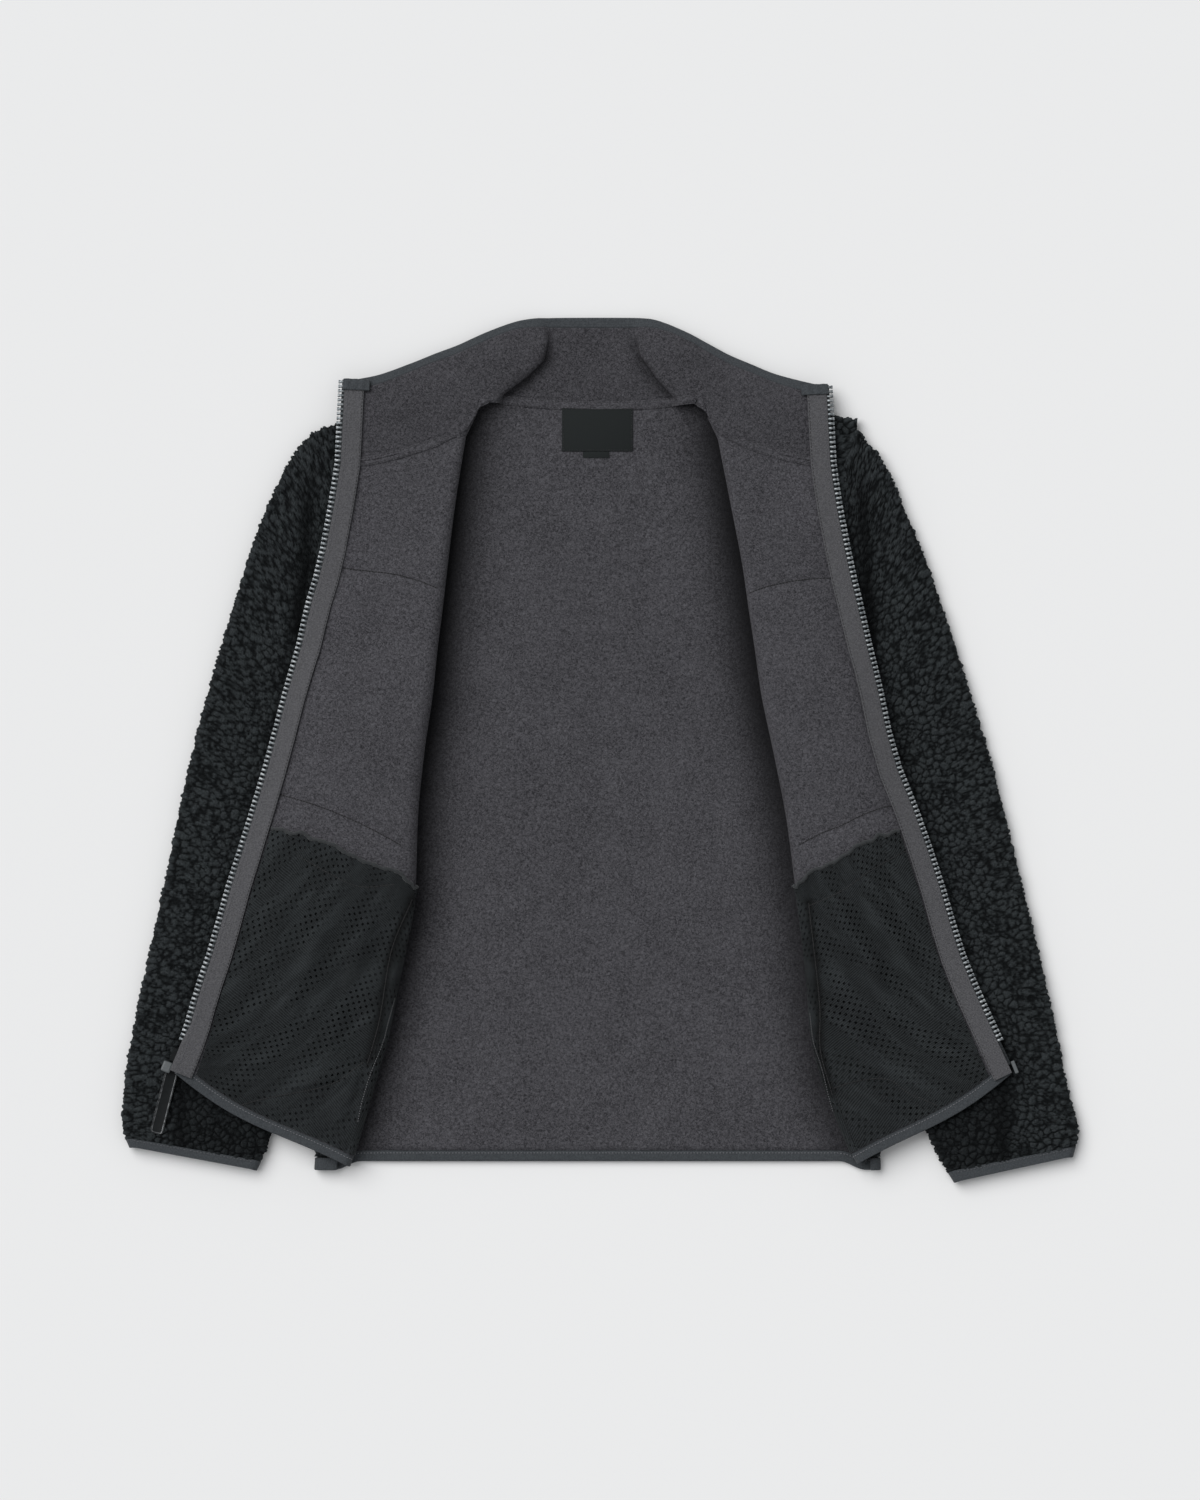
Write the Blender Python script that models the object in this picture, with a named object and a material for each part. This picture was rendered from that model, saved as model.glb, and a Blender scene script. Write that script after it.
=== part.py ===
"""Full-zip sherpa fleece jacket, laid on its back with both fronts turned open.

Metres, +Z up.  The jacket lies on the plane z = 0, neck towards +Y, and the wearer's
right side is at -X.  Bonded cloth, pile outside and smooth fleece inside, is one wall.
In every table "out" is a distance from the centre line and "y" runs up the jacket.
Heights named "..._z" are those of the middle of the cloth's thickness.
"""
import math
from collections import namedtuple

import bmesh
import bpy
from mathutils import Matrix, Vector

# ------------------------------------------------------------------ driving sizes
CLOTH = 0.0055            # bonded cloth with its pile
AIR = 0.0025              # air left between two walls of a flattened tube
SEAM_GAP = 0.0004         # between pieces that are sewn together
LOW = CLOTH / 2           # a layer that lies on the floor
HIGH = LOW + CLOTH + AIR  # the layer over it
TURN = (HIGH - LOW) / 2   # radius of the cloth where it turns over at a side

BINDING = 0.0095          # width of the binding round hem, cuffs and collar
BINDING_CLOTH = 0.0045    # its thickness, folded round the cloth's edge
MESH = 0.0014             # pocket bag, two layers of mesh
TAPE = 0.0009             # woven zip tape
TAPE_OUT = 0.0040         # how far the tape stands out of the front's edge
TAPE_IN = 0.0110          # how far it reaches in under the facing
FACING = 0.0010           # twill strip that covers the tape
FACING_IN = 0.0165        # its reach onto the front
FACING_OUT = 0.0014       # and past the front's edge
FACING_CORNER = 0.0046    # past it where it covers the slider
LABEL_SIZE = (0.0650, 0.0400, 0.0008)
LABEL_PLACE = (-0.0025, 0.2945)
TAG_SIZE = (0.0240, 0.0055, 0.0008)
TAG_PLACE = (-0.0037, 0.27135)

NECK_DIP = 0.3155         # back neck seam at the centre
NECK_HALF = 0.1160        # half of the back neck, to the shoulder turns
NECK_RISE = 0.0086        # how much higher the seam is at the shoulder
SHOULDER_OUT = 0.2360     # outer end of the shoulder turn
SHOULDER_TOP = 0.3260     # top of the turn at the neck
SHOULDER_END = 0.3040     # top of the turn at the sleeve
SHOULDER_GAP = 0.0018     # between its seam and the front, which rolls there

# ------------------------------------------------------------------ tables
# Front, one row per section from the collar seam down to the hem.  arm: armhole, and
# lower down the side seam.  fold: innermost reach of the turned edge.  edge: zip edge.
# Heights go from the seam (arm_z, under_z) over the fold (fold_z) to the zip (edge_z).
FrontRow = namedtuple(
    "FrontRow",
    "arm_out arm_y fold_out fold_y edge_out edge_y arm_z under_z fold_z inner_z outer_z edge_z bow",
)
FRONT_ROWS = {
    "right": (
        FrontRow(.2365, .2900, .1230, .2890, .2360, .2630, .0108, .0108, .0200, .0195, .0190, .0175, .0045),
        FrontRow(.2210, .2300, .1330, .2240, .2410, .2300, .0108, .0108, .0225, .0215, .0195, .0172, 0),
        FrontRow(.2010, .1660, .1400, .1670, .2530, .1670, .0108, .0108, .0245, .0230, .0195, .0170, 0),
        FrontRow(.1898, .1290, .1440, .1320, .2630, .1320, .0118, .0108, .0262, .0250, .0218, .0174, 0),
        FrontRow(.1768, .0920, .1490, .0920, .2710, .0940, .0165, .0125, .0292, .0290, .0264, .0184, 0),
        FrontRow(.1680, .0560, .1530, .0530, .2820, .0550, .0170, .0150, .0325, .0335, .0315, .0190, 0),
        FrontRow(.1786, -.0020, .1610, -.0020, .2970, -.0020, .0108, .0108, .0325, .0340, .0310, .0190, 0),
        FrontRow(.1845, -.0640, .1670, -.0640, .3160, -.0660, .0108, .0108, .0320, .0340, .0300, .0185, 0),
        FrontRow(.1859, -.1250, .1690, -.1250, .3360, -.1280, .0108, .0108, .0310, .0330, .0275, .0180, 0),
        FrontRow(.1952, -.1860, .1800, -.1860, .3520, -.1830, .0108, .0108, .0275, .0280, .0215, .0175, 0),
        FrontRow(.2036, -.2379, .1900, -.2390, .3660, -.2245, .0108, .0108, .0245, .0225, .0195, .0185, 0),
        FrontRow(.2137, -.2830, .2010, -.2850, .3755, -.2575, .0108, .0108, .0230, .0205, .0195, .0200, .003),
        FrontRow(.2371, -.3682, .2265, -.3740, .3865, -.2860, .0108, .0108, .0215, .0195, .0200, .0222, .009),
        FrontRow(.2401, -.3772, .2295, -.3830, .3905, -.2960, .0108, .0108, .0215, .0195, .0200, .0225, .009),
    ),
    "left": (
        FrontRow(.2365, .2900, .1080, .2870, .2095, .2630, .0108, .0108, .0200, .0195, .0190, .0175, .0035),
        FrontRow(.2210, .2300, .1190, .2300, .2140, .2300, .0108, .0108, .0225, .0215, .0195, .0172, 0),
        FrontRow(.2010, .1660, .1310, .1670, .2260, .1670, .0108, .0108, .0245, .0230, .0195, .0170, 0),
        FrontRow(.1898, .1290, .1360, .1320, .2340, .1320, .0118, .0108, .0262, .0250, .0210, .0172, 0),
        FrontRow(.1768, .0920, .1420, .0920, .2420, .0940, .0165, .0125, .0292, .0290, .0250, .0180, 0),
        FrontRow(.1680, .0560, .1475, .0530, .2510, .0550, .0170, .0150, .0325, .0338, .0330, .0228, 0),
        FrontRow(.1766, -.0020, .1590, -.0020, .2635, -.0020, .0108, .0108, .0325, .0342, .0330, .0236, 0),
        FrontRow(.1884, -.0640, .1710, -.0640, .2880, -.0660, .0108, .0108, .0320, .0340, .0305, .0200, 0),
        FrontRow(.1959, -.1250, .1790, -.1250, .3090, -.1280, .0108, .0108, .0310, .0330, .0280, .0185, 0),
        FrontRow(.2032, -.1860, .1880, -.1860, .3260, -.1830, .0108, .0108, .0275, .0280, .0220, .0175, 0),
        FrontRow(.2056, -.2390, .1920, -.2390, .3430, -.2245, .0108, .0108, .0245, .0225, .0195, .0172, 0),
        FrontRow(.2117, -.2828, .1990, -.2850, .3580, -.2570, .0108, .0108, .0230, .0205, .0190, .0172, .002),
        FrontRow(.2414, -.3648, .2310, -.3710, .3720, -.2870, .0108, .0108, .0215, .0195, .0185, .0172, .007),
        FrontRow(.2465, -.3739, .2360, -.3800, .3770, -.2975, .0108, .0108, .0215, .0195, .0185, .0172, .007),
    ),
}
FRONT_HEM = 12            # row where the hem binding starts
TAPE_ENDS = {"right": 12.7, "left": 12.2}  # rows where the zip tape stops, above the hem
FACING_END = 12.9         # row where the facing stops
COVER_FROM = -0.255       # the facing widens over the slider from here down
COVER_RUN = 0.018
POCKET_ROWS = {"right": (8.02, 7.12), "left": (8.00, 7.15)}  # pocket mouth, fold and zip side
POCKET_FROM = 1.6         # place round the fold where the bag starts

# Sleeve, one row per ring from the armhole to the end of the cuff: its outer edge and
# its inner edge, which lies under the front.
SleeveRow = namedtuple("SleeveRow", "outer_out outer_y inner_out inner_y")
SLEEVE_ROWS = {
    "right": (
        SleeveRow(.2430, .3000, .1745, .0600),
        SleeveRow(.2620, .2930, .1770, .0530),
        SleeveRow(.2830, .2690, .1795, .0430),
        SleeveRow(.3020, .2320, .1820, .0290),
        SleeveRow(.3200, .1870, .1840, .0110),
        SleeveRow(.3360, .1350, .1890, -.0080),
        SleeveRow(.3510, .0870, .1950, -.0310),
        SleeveRow(.3640, .0420, .2030, -.0600),
        SleeveRow(.3760, -.0060, .2130, -.0920),
        SleeveRow(.3870, -.0540, .2250, -.1280),
        SleeveRow(.3970, -.1040, .2460, -.1640),
        SleeveRow(.4080, -.1540, .2570, -.2070),
        SleeveRow(.4190, -.2050, .2660, -.2500),
        SleeveRow(.4290, -.2540, .2800, -.2910),
        SleeveRow(.4370, -.3000, .2920, -.3260),
        SleeveRow(.4400, -.3420, .3050, -.3640),
        SleeveRow(.4330, -.3640, .3150, -.3860),
    ),
    "left": (
        SleeveRow(.2430, .3000, .1745, .0600),
        SleeveRow(.2570, .2760, .1770, .0530),
        SleeveRow(.2720, .2400, .1795, .0430),
        SleeveRow(.2880, .2030, .1820, .0290),
        SleeveRow(.3040, .1620, .1840, .0110),
        SleeveRow(.3190, .1190, .1890, -.0080),
        SleeveRow(.3340, .0740, .1950, -.0310),
        SleeveRow(.3470, .0320, .2030, -.0600),
        SleeveRow(.3600, -.0110, .2130, -.0920),
        SleeveRow(.3730, -.0610, .2250, -.1280),
        SleeveRow(.3840, -.1070, .2460, -.1640),
        SleeveRow(.3960, -.1540, .2570, -.2070),
        SleeveRow(.4080, -.2040, .2650, -.2500),
        SleeveRow(.4200, -.2590, .2790, -.2930),
        SleeveRow(.4300, -.3090, .2920, -.3310),
        SleeveRow(.4400, -.3490, .3100, -.3720),
        SleeveRow(.4350, -.3730, .3250, -.3970),
    ),
}
CUFF_ROW = 15.62          # where the cuff's binding starts

# Edge of the back where it lies on the floor, armhole first, then the turned side.
SideRow = namedtuple("SideRow", "y right_out left_out")
SIDE_ROWS = (
    SideRow(.2930, .2395, .2395),
    SideRow(.2300, .2205, .2205),
    SideRow(.1980, .2105, .2105),
    SideRow(.1660, .2005, .2005),
    SideRow(.1290, .1880, .1880),
    SideRow(.1050, .1840, .1840),
    SideRow(.0900, .1880, .1880),
    SideRow(.0750, .1990, .1990),
    SideRow(.0600, .2120, .2120),
    SideRow(.0350, .2200, .2200),
    SideRow(-.0460, .2280, .2260),
    SideRow(-.1840, .2390, .2360),
    SideRow(-.2850, .2530, .2450),
    SideRow(-.3640, .2620, .2580),
    SideRow(-.3900, .2640, .2590),
)
BACK_ROWS = (.262, .230, .198, .166, .129, .105, .090, .075, .060, .042)   # above the side turn
# and lower down, with the side turn
TURNED_ROWS = (.027, .000, -.040, -.080, -.120, -.160, -.200, -.240, -.275, -.305, -.330, -.351)
BACK_HEM = -.3780         # lower edge of the back hem
HEM_DIP = 0.0080          # how much lower it is where it has turned over at the sides
DIP_FROM = -.3400
DIP_OUT = 0.2200
DIP_RUN = 0.0240
LEDGE_FULL = 0.010        # a sleeve lies at full height this far outside the body
ON_FLOOR_ABOVE = 0.152    # above this the sleeve's seam lies on the floor
ON_FLOOR_RUN = 0.036
ON_TURN_BELOW = 0.068     # below this it lies on both layers of the turned side
ON_TURN_RUN = 0.032
OVERLAP_FROM = 0.010      # a sleeve starts to climb this far outside the body
OVERLAP_RUN = 0.012
LEDGE_RUN = 0.034         # and comes down to the floor over this length

# Collar, one row per section from the zip edge to the centre of the back: its point on
# the neck seam and on the top edge, and the heights at seam, half height and top.
CollarRow = namedtuple("CollarRow", "seam_out seam_y top_out top_y seam_z half_z top_z")
FRONT_SECTIONS = 5         # the first sections are sewn to the front, the rest to the back
COLLAR_ROWS = {
    "right": (
        CollarRow(.2360, .2634, .2325, .3390, .0175, .0172, .0100),
        CollarRow(.2140, .2664, .2070, .3435, .0181, .0176, .0094),
        CollarRow(.1930, .2704, .1750, .3545, .0187, .0180, .0088),
        CollarRow(.1710, .2754, .1500, .3645, .0190, .0182, .0082),
        CollarRow(.1510, .2814, .1300, .3720, .0194, .0184, .0078),
        CollarRow(.1303, .2881, .1160, .3785, .0200, .0184, .0074),
        CollarRow(.1225, .2945, .1060, .3830, .0195, .0180, .0070),
        CollarRow(.1150, .3060, .0960, .3870, .0190, .0175, .0064),
        CollarRow(.1100, .3165, .0850, .3910, .0185, .0168, .0058),
        CollarRow(.1000, .3232, .0730, .3945, .0180, .0160, .0050),
        CollarRow(.0840, .3212, .0560, .3968, .0180, .0150, .0040),
        CollarRow(.0480, .3180, .0300, .3974, .0180, .0140, .0030),
        CollarRow(.0000, .3162, .0000, .3975, .0180, .0140, .0028),
    ),
    "left": (
        CollarRow(.2095, .2634, .2060, .3340, .0175, .0172, .0100),
        CollarRow(.1900, .2674, .1860, .3385, .0181, .0176, .0094),
        CollarRow(.1710, .2714, .1600, .3455, .0187, .0180, .0088),
        CollarRow(.1520, .2764, .1380, .3545, .0190, .0182, .0082),
        CollarRow(.1340, .2814, .1190, .3625, .0194, .0184, .0078),
        CollarRow(.1152, .2861, .1040, .3705, .0200, .0184, .0074),
        CollarRow(.1070, .2925, .0940, .3760, .0195, .0180, .0070),
        CollarRow(.1000, .3045, .0830, .3820, .0190, .0175, .0064),
        CollarRow(.0945, .3145, .0720, .3870, .0185, .0168, .0058),
        CollarRow(.0860, .3218, .0600, .3920, .0180, .0160, .0050),
        CollarRow(.0700, .3202, .0450, .3962, .0180, .0150, .0040),
        CollarRow(.0400, .3174, .0250, .3974, .0180, .0140, .0030),
        CollarRow(.0000, .3162, .0000, .3975, .0180, .0140, .0028),
    ),
}
# Crease where the front half of the collar turns over the back half, from the neck seam up.
CreasePoint = namedtuple("CreasePoint", "out y")
CREASES = {
    "right": (CreasePoint(.1260, .2800), CreasePoint(.1110, .3160), CreasePoint(.0960, .3350),
              CreasePoint(.0740, .3510), CreasePoint(.0600, .3640), CreasePoint(.0570, .3780),
              CreasePoint(.0600, .4000)),
    "left": (CreasePoint(.1120, .2780), CreasePoint(.0970, .3090), CreasePoint(.0800, .3270),
             CreasePoint(.0620, .3460), CreasePoint(.0470, .3660), CreasePoint(.0410, .3820),
             CreasePoint(.0400, .4000)),
}
CREASE_RUN = 0.018         # width over which the roll comes down to the back half

# Zip hardware, at the lower end of the wearer's right front.
SLIDER_AT = (-.3892, -.2800)      # hinge of the pull, in plan
ZIP_TURN = math.radians(-22)      # zip's direction there, from -Y towards -X
PULL_TURN = math.radians(-14.3)   # the pull lies a little askew
SLIDER_SIZE = (.0078, .0120, .0050)
SLIDER_BASE = .0176               # underside of the slider's body
BAIL_BAR = .0012
BAIL_DROP = .0034                 # the bail stands this far out of the slider
BAIL_LENGTH = .0086
BAIL_WIDTH = .0024
PULL_PIN = .0008                  # radius of the pull's cross bar
PULL_LENGTH = .0745
PULL_WIDTH = .0118
PULL_THICK = .0018
PULL_EYE = .0090                  # length of the eye round the bail
PULL_EYE_OUT = .0086              # outer width of the eye
PULL_EYE_IN = .0054               # width inside it
PULL_RIM = .0015                  # rim below the eye
PULL_CORNER = .0030               # radius of the plate's corners
BLOCK_ROUNDING = .22              # share of a block's least side that is rounded off
BOX_SIZE = (.0088, .0100, .0068)
BOX_AT = (-.3972, -.2904, .0233)
PIN_SIZE = (.0034, .0120, .0026)
PIN_AT = (.3804, -.2908, .0212)

COLOURS = {
    "sherpa": ((.022, .026, .028, 1), .95),
    "binding": ((.042, .046, .050, 1), .85),
    "mesh": ((.017, .020, .022, 1), .75),
    "tape": ((.060, .060, .064, 1), .85),
    "facing": ((.092, .090, .096, 1), .80),
    "label": ((.020, .023, .024, 1), .60),
    "hardware": ((.010, .011, .012, 1), .35),
    "grey_hardware": ((.180, .185, .190, 1), .40),
}
SIGN = {"right": -1, "left": 1}


# ------------------------------------------------------------------ small helpers
def material(name):
    """Principled material from the colour table, made once."""
    found = bpy.data.materials.get(name)
    if found:
        return found
    colour, roughness = COLOURS[name]
    made = bpy.data.materials.new(name)
    made.use_nodes = True
    shader = made.node_tree.nodes["Principled BSDF"]
    shader.inputs["Base Color"].default_value = colour
    shader.inputs["Roughness"].default_value = roughness
    shader.inputs["Metallic"].default_value = 0.0
    return made


def slope(before, here, after):
    """Slope of a smooth curve at a table row that never overshoots its neighbours."""
    back, ahead = here - before, after - here
    return 2 * back * ahead / (back + ahead) if back * ahead > 0 else 0.0


def read(rows, k):
    """A table read at row k, which may be a fraction, along a smooth curve."""
    last = len(rows) - 1
    i = min(max(int(k), 0), last - 1)
    f = k - i
    values = []
    for a, b, c, d in zip(rows[max(i - 1, 0)], rows[i], rows[i + 1], rows[min(i + 2, last)]):
        leave = slope(a, b, c) if i > 0 else c - b
        arrive = slope(b, c, d) if i < last - 1 else c - b
        values.append(b + f * leave + f * f * (3 * (c - b) - 2 * leave - arrive)
                      + f ** 3 * (leave + arrive - 2 * (c - b)))
    return type(rows[0])(*values)


def side_out(side, y):
    """Distance from the centre line to the back's edge at height y."""
    column = 1 if side == "right" else 2
    if y >= SIDE_ROWS[0].y:
        return SIDE_ROWS[0][column]
    for upper, lower in zip(SIDE_ROWS, SIDE_ROWS[1:]):
        if y >= lower.y:
            f = (upper.y - y) / (upper.y - lower.y)
            return upper[column] + f * (lower[column] - upper[column])
    return SIDE_ROWS[-1][column]


def ease(f):
    """0 to 1 with level ends."""
    f = min(max(f, 0.0), 1.0)
    return f * f * (3 - 2 * f)


def spread(start, end, count):
    """count + 1 even steps from start to end."""
    return [start + (end - start) * i / count for i in range(count + 1)]


def finish(bm, name, colour, thickness=None):
    """Object from a bmesh; a surface gets its thickness from a Solidify modifier."""
    bmesh.ops.remove_doubles(bm, verts=bm.verts, dist=0.00005)
    bmesh.ops.recalc_face_normals(bm, faces=bm.faces)
    mesh = bpy.data.meshes.new(name)
    bm.to_mesh(mesh)
    bm.free()
    mesh.shade_smooth()
    mesh.materials.append(material(colour))
    made = bpy.data.objects.new(name, mesh)
    bpy.context.scene.collection.objects.link(made)
    if thickness:
        wall = made.modifiers.new("wall", "SOLIDIFY")
        wall.thickness = thickness
        wall.offset = 0.0
        wall.use_even_offset = False
    return made


def add_grid(bm, rows, closed=False):
    """Faces between rows of points; a closed row runs back to its first point."""
    lines = [[bm.verts.new(point) for point in row] for row in rows]
    for upper, lower in zip(lines, lines[1:]):
        count = len(upper)
        for i in range(count if closed else count - 1):
            j = (i + 1) % count
            bm.faces.new((upper[i], upper[j], lower[j], lower[i]))


def wall(name, rows, thickness, colour, closed=False):
    """Cloth through rows of points on the middle of its thickness."""
    bm = bmesh.new()
    add_grid(bm, rows, closed)
    return finish(bm, name, colour, thickness)


FRONT_STEPS = spread(0, FRONT_HEM - 0.04, 21)      # rows where the front's wall has points
FRONT_BAND = [FRONT_HEM, FRONT_HEM + 0.5, FRONT_HEM + 1]


# ------------------------------------------------------------------ fronts
def front_point(side, k, across):
    """Point of a front: across is 0 at the armhole, 1 to 2 round the fold, 3 at the zip."""
    row = read(FRONT_ROWS[side], k)
    arm = Vector((row.arm_out, row.arm_y))
    fold = Vector((row.fold_out, row.fold_y))
    edge = Vector((row.edge_out, row.edge_y))
    outward = (edge - fold).normalized()
    radius = (row.fold_z - row.under_z) / 2
    centre = fold + outward * (CLOTH / 2 + radius)
    if across <= 1:
        place = arm.lerp(centre, across)
        z = row.arm_z + (row.under_z - row.arm_z) * ease(across)
    elif across <= 2:
        angle = math.pi * (across - 1)
        place = centre - outward * radius * math.sin(angle)
        z = row.under_z + radius * (1 - math.cos(angle))
    else:
        f = across - 2
        place = centre.lerp(edge, f)
        place.y -= row.bow * math.sin(math.pi * f ** 1.5)
        z = curve_through((row.fold_z, row.inner_z, row.outer_z, row.edge_z), f)
    return Vector((SIGN[side] * place.x, place.y, z))


def curve_through(heights, f):
    """Smooth curve through heights at even steps, f from 0 to 1."""
    Height = namedtuple("Height", "z")
    return read([Height(z) for z in heights], f * (len(heights) - 1)).z


def front_normal(side, k, across):
    """Direction that the lining faces at a point of a front."""
    step = 0.02
    along = front_point(side, k + step, across) - front_point(side, k - step, across)
    reach = front_point(side, k, min(across + step, 3)) - front_point(side, k, across - step)
    return (reach.cross(along) * -SIGN[side]).normalized()


def front_columns():
    """Places across a front where its wall has points."""
    return spread(0, 1, 3)[:-1] + spread(1, 2, 5)[:-1] + spread(2, 3, 8)


def build_front(side):
    rows = [[front_point(side, k, c) for c in front_columns()] for k in FRONT_STEPS]
    wall("front_" + side, rows, CLOTH, "sherpa")
    band = [[front_point(side, k, c) for c in front_columns()] for k in FRONT_BAND]
    wall("hem_binding_" + side, band, BINDING_CLOTH, "binding")


def build_pocket(side):
    """Mesh bag on the lining, from its slanting mouth to the hem."""
    fold_row, zip_row = POCKET_ROWS[side]
    lift = CLOTH / 2 + 2 * SEAM_GAP + MESH / 2
    rows = []
    for f in spread(0, 1, 10):
        line = []
        for across in spread(POCKET_FROM, 2, 2)[:-1] + spread(2, 2 + pocket_reach(side, 10), 7):
            mouth = fold_row + (zip_row - fold_row) * ease((across - POCKET_FROM) / 1.3)
            k = mouth + (FRONT_HEM - 0.05 - mouth) * f
            if across > 2.0:
                share = (across - 2.0) / pocket_reach(side, 10)
                across = 2.0 + pocket_reach(side, k) * share
            line.append(front_point(side, k, across) + front_normal(side, k, across) * lift)
        rows.append(line)
    wall("pocket_bag_" + side, rows, MESH, "mesh")


def pocket_reach(side, k):
    """Share of the flap's width from the fold to the facing."""
    reach = front_point(side, k, 3) - front_point(side, k, 2)
    along = front_point(side, k + 0.1, 3) - front_point(side, k - 0.1, 3)
    slant = reach.normalized().cross(along.normalized()).length
    return 1 - (FACING_IN + 3 * SEAM_GAP) / slant / reach.length


# ------------------------------------------------------------------ zip
ZipStation = namedtuple("ZipStation", "point inward normal")


def zip_stations(side, last):
    """Places down one zip edge: collar first, then the front down to row last."""
    stations = []
    for v in spread(1, 0, 8)[:-1]:
        point = collar_point(side, 0, v)
        stations.append((point, collar_point(side, 1, v) - point))
    for k in [k for k in FRONT_STEPS + FRONT_BAND if k < last] + [last]:
        point = front_point(side, k, 3)
        stations.append((point, front_point(side, k, front_columns()[-2]) - point))
    made = []
    for i, (point, inward) in enumerate(stations):
        ahead = stations[min(i + 1, len(stations) - 1)][0]
        behind = stations[max(i - 1, 0)][0]
        along = (ahead - behind).normalized()
        inward = (inward - along * inward.dot(along)).normalized()
        normal = inward.cross(along).normalized()
        if normal.z < 0:
            normal.negate()
        made.append(ZipStation(point, inward, normal))
    return made


def build_strip(name, stations, out, inner, lift, thickness, colour):
    """Strip along a zip edge, from out(y) past the edge to inner, lifted off the cloth."""
    rows = []
    for station in stations:
        base = station.point + station.normal * lift
        rows.append([base + station.inward * d for d in (-out(station.point.y), inner)])
    wall(name, rows, thickness, colour)


def build_zip_side(side):
    tape_lift = CLOTH / 2 + 2 * SEAM_GAP + TAPE / 2
    facing_lift = tape_lift + TAPE / 2 + SEAM_GAP + FACING / 2
    corner = FACING_CORNER if side == "right" else FACING_OUT
    build_strip("zip_tape_" + side, zip_stations(side, TAPE_ENDS[side]),
                lambda y: TAPE_OUT, TAPE_IN, tape_lift, TAPE, "tape")
    build_strip("zip_facing_" + side, zip_stations(side, FACING_END),
                lambda y: FACING_OUT + (corner - FACING_OUT) * ease((COVER_FROM - y) / COVER_RUN),
                FACING_IN, facing_lift, FACING, "facing")


def turned_box(bm, centre, size, turn):
    """Box with its long side along the zip."""
    made = bmesh.ops.create_cube(bm, size=1)["verts"]
    bmesh.ops.scale(bm, vec=size, verts=made)
    bmesh.ops.rotate(bm, cent=(0, 0, 0), matrix=rotation(turn), verts=made)
    bmesh.ops.translate(bm, vec=centre, verts=made)
    return made


def rotation(turn):
    return Matrix.Rotation(turn, 3, "Z")


def bevel_all(bm, width, segments=2):
    bmesh.ops.bevel(bm, geom=bm.edges[:], offset=width, segments=segments, profile=0.5,
                    affect="EDGES", material=-1)


def build_block(name, at, size, turn, colour):
    """Rounded block: the zip's box and its pin."""
    bm = bmesh.new()
    turned_box(bm, at, size, turn)
    bevel_all(bm, min(size) * BLOCK_ROUNDING)
    finish(bm, name, colour)


def build_slider():
    """Slider body with the bail on its underside, one piece."""
    width, length, height = SLIDER_SIZE
    stops = (-length / 2, -BAIL_LENGTH / 2, -BAIL_LENGTH / 2 + BAIL_BAR,
             BAIL_LENGTH / 2 - BAIL_BAR, BAIL_LENGTH / 2, length / 2)
    columns = (-width / 2, -BAIL_WIDTH / 2, BAIL_WIDTH / 2, width / 2)
    levels = (SLIDER_BASE - BAIL_DROP, SLIDER_BASE - BAIL_DROP + BAIL_BAR, SLIDER_BASE,
              SLIDER_BASE + height)
    body = {(i, j, 2) for i in range(3) for j in range(5)}
    bail_ends = {(1, j, 1) for j in (1, 3)}
    bail = {(1, j, 0) for j in (1, 2, 3)}
    bm = bmesh.new()
    add_cells(bm, body | bail_ends | bail, columns, stops, levels)
    bmesh.ops.rotate(bm, cent=(0, 0, 0), matrix=rotation(ZIP_TURN), verts=bm.verts)
    bmesh.ops.translate(bm, vec=(SLIDER_AT[0], SLIDER_AT[1], 0), verts=bm.verts)
    finish(bm, "zip_slider", "hardware")


def add_cells(bm, cells, xs, ys, zs):
    """Closed skin round a set of filled cells of a small lattice."""
    steps = ((1, 0, 0), (-1, 0, 0), (0, 1, 0), (0, -1, 0), (0, 0, 1), (0, 0, -1))
    for i, j, k in cells:
        for step in steps:
            if (i + step[0], j + step[1], k + step[2]) in cells:
                continue
            axis = next(a for a in range(3) if step[a])
            others = [a for a in range(3) if a != axis]
            index = [i, j, k]
            index[axis] += max(step[axis], 0)
            corners = []
            for du, dv in ((0, 0), (1, 0), (1, 1), (0, 1)):
                corner = list(index)
                corner[others[0]] += du
                corner[others[1]] += dv
                corners.append(bm.verts.new((xs[corner[0]], ys[corner[1]], zs[corner[2]])))
            bm.faces.new(corners)


def build_pull():
    """Pull tab that hangs on the bail: an eye, then a flat rounded plate."""
    axis_z = SLIDER_BASE - (BAIL_DROP - BAIL_BAR) / 2
    bm = bmesh.new()
    add_plate(bm)
    tip_z = 2 * CLOTH + AIR + SEAM_GAP + PULL_THICK / 2
    lean = math.atan2(axis_z - tip_z, PULL_LENGTH)
    bmesh.ops.rotate(bm, cent=(0, 0, 0), matrix=Matrix.Rotation(lean, 3, "X"), verts=bm.verts)
    bmesh.ops.rotate(bm, cent=(0, 0, 0), matrix=rotation(PULL_TURN), verts=bm.verts)
    made = finish(bm, "zip_pull", "hardware")
    made.location = (SLIDER_AT[0], SLIDER_AT[1], axis_z)


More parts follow.
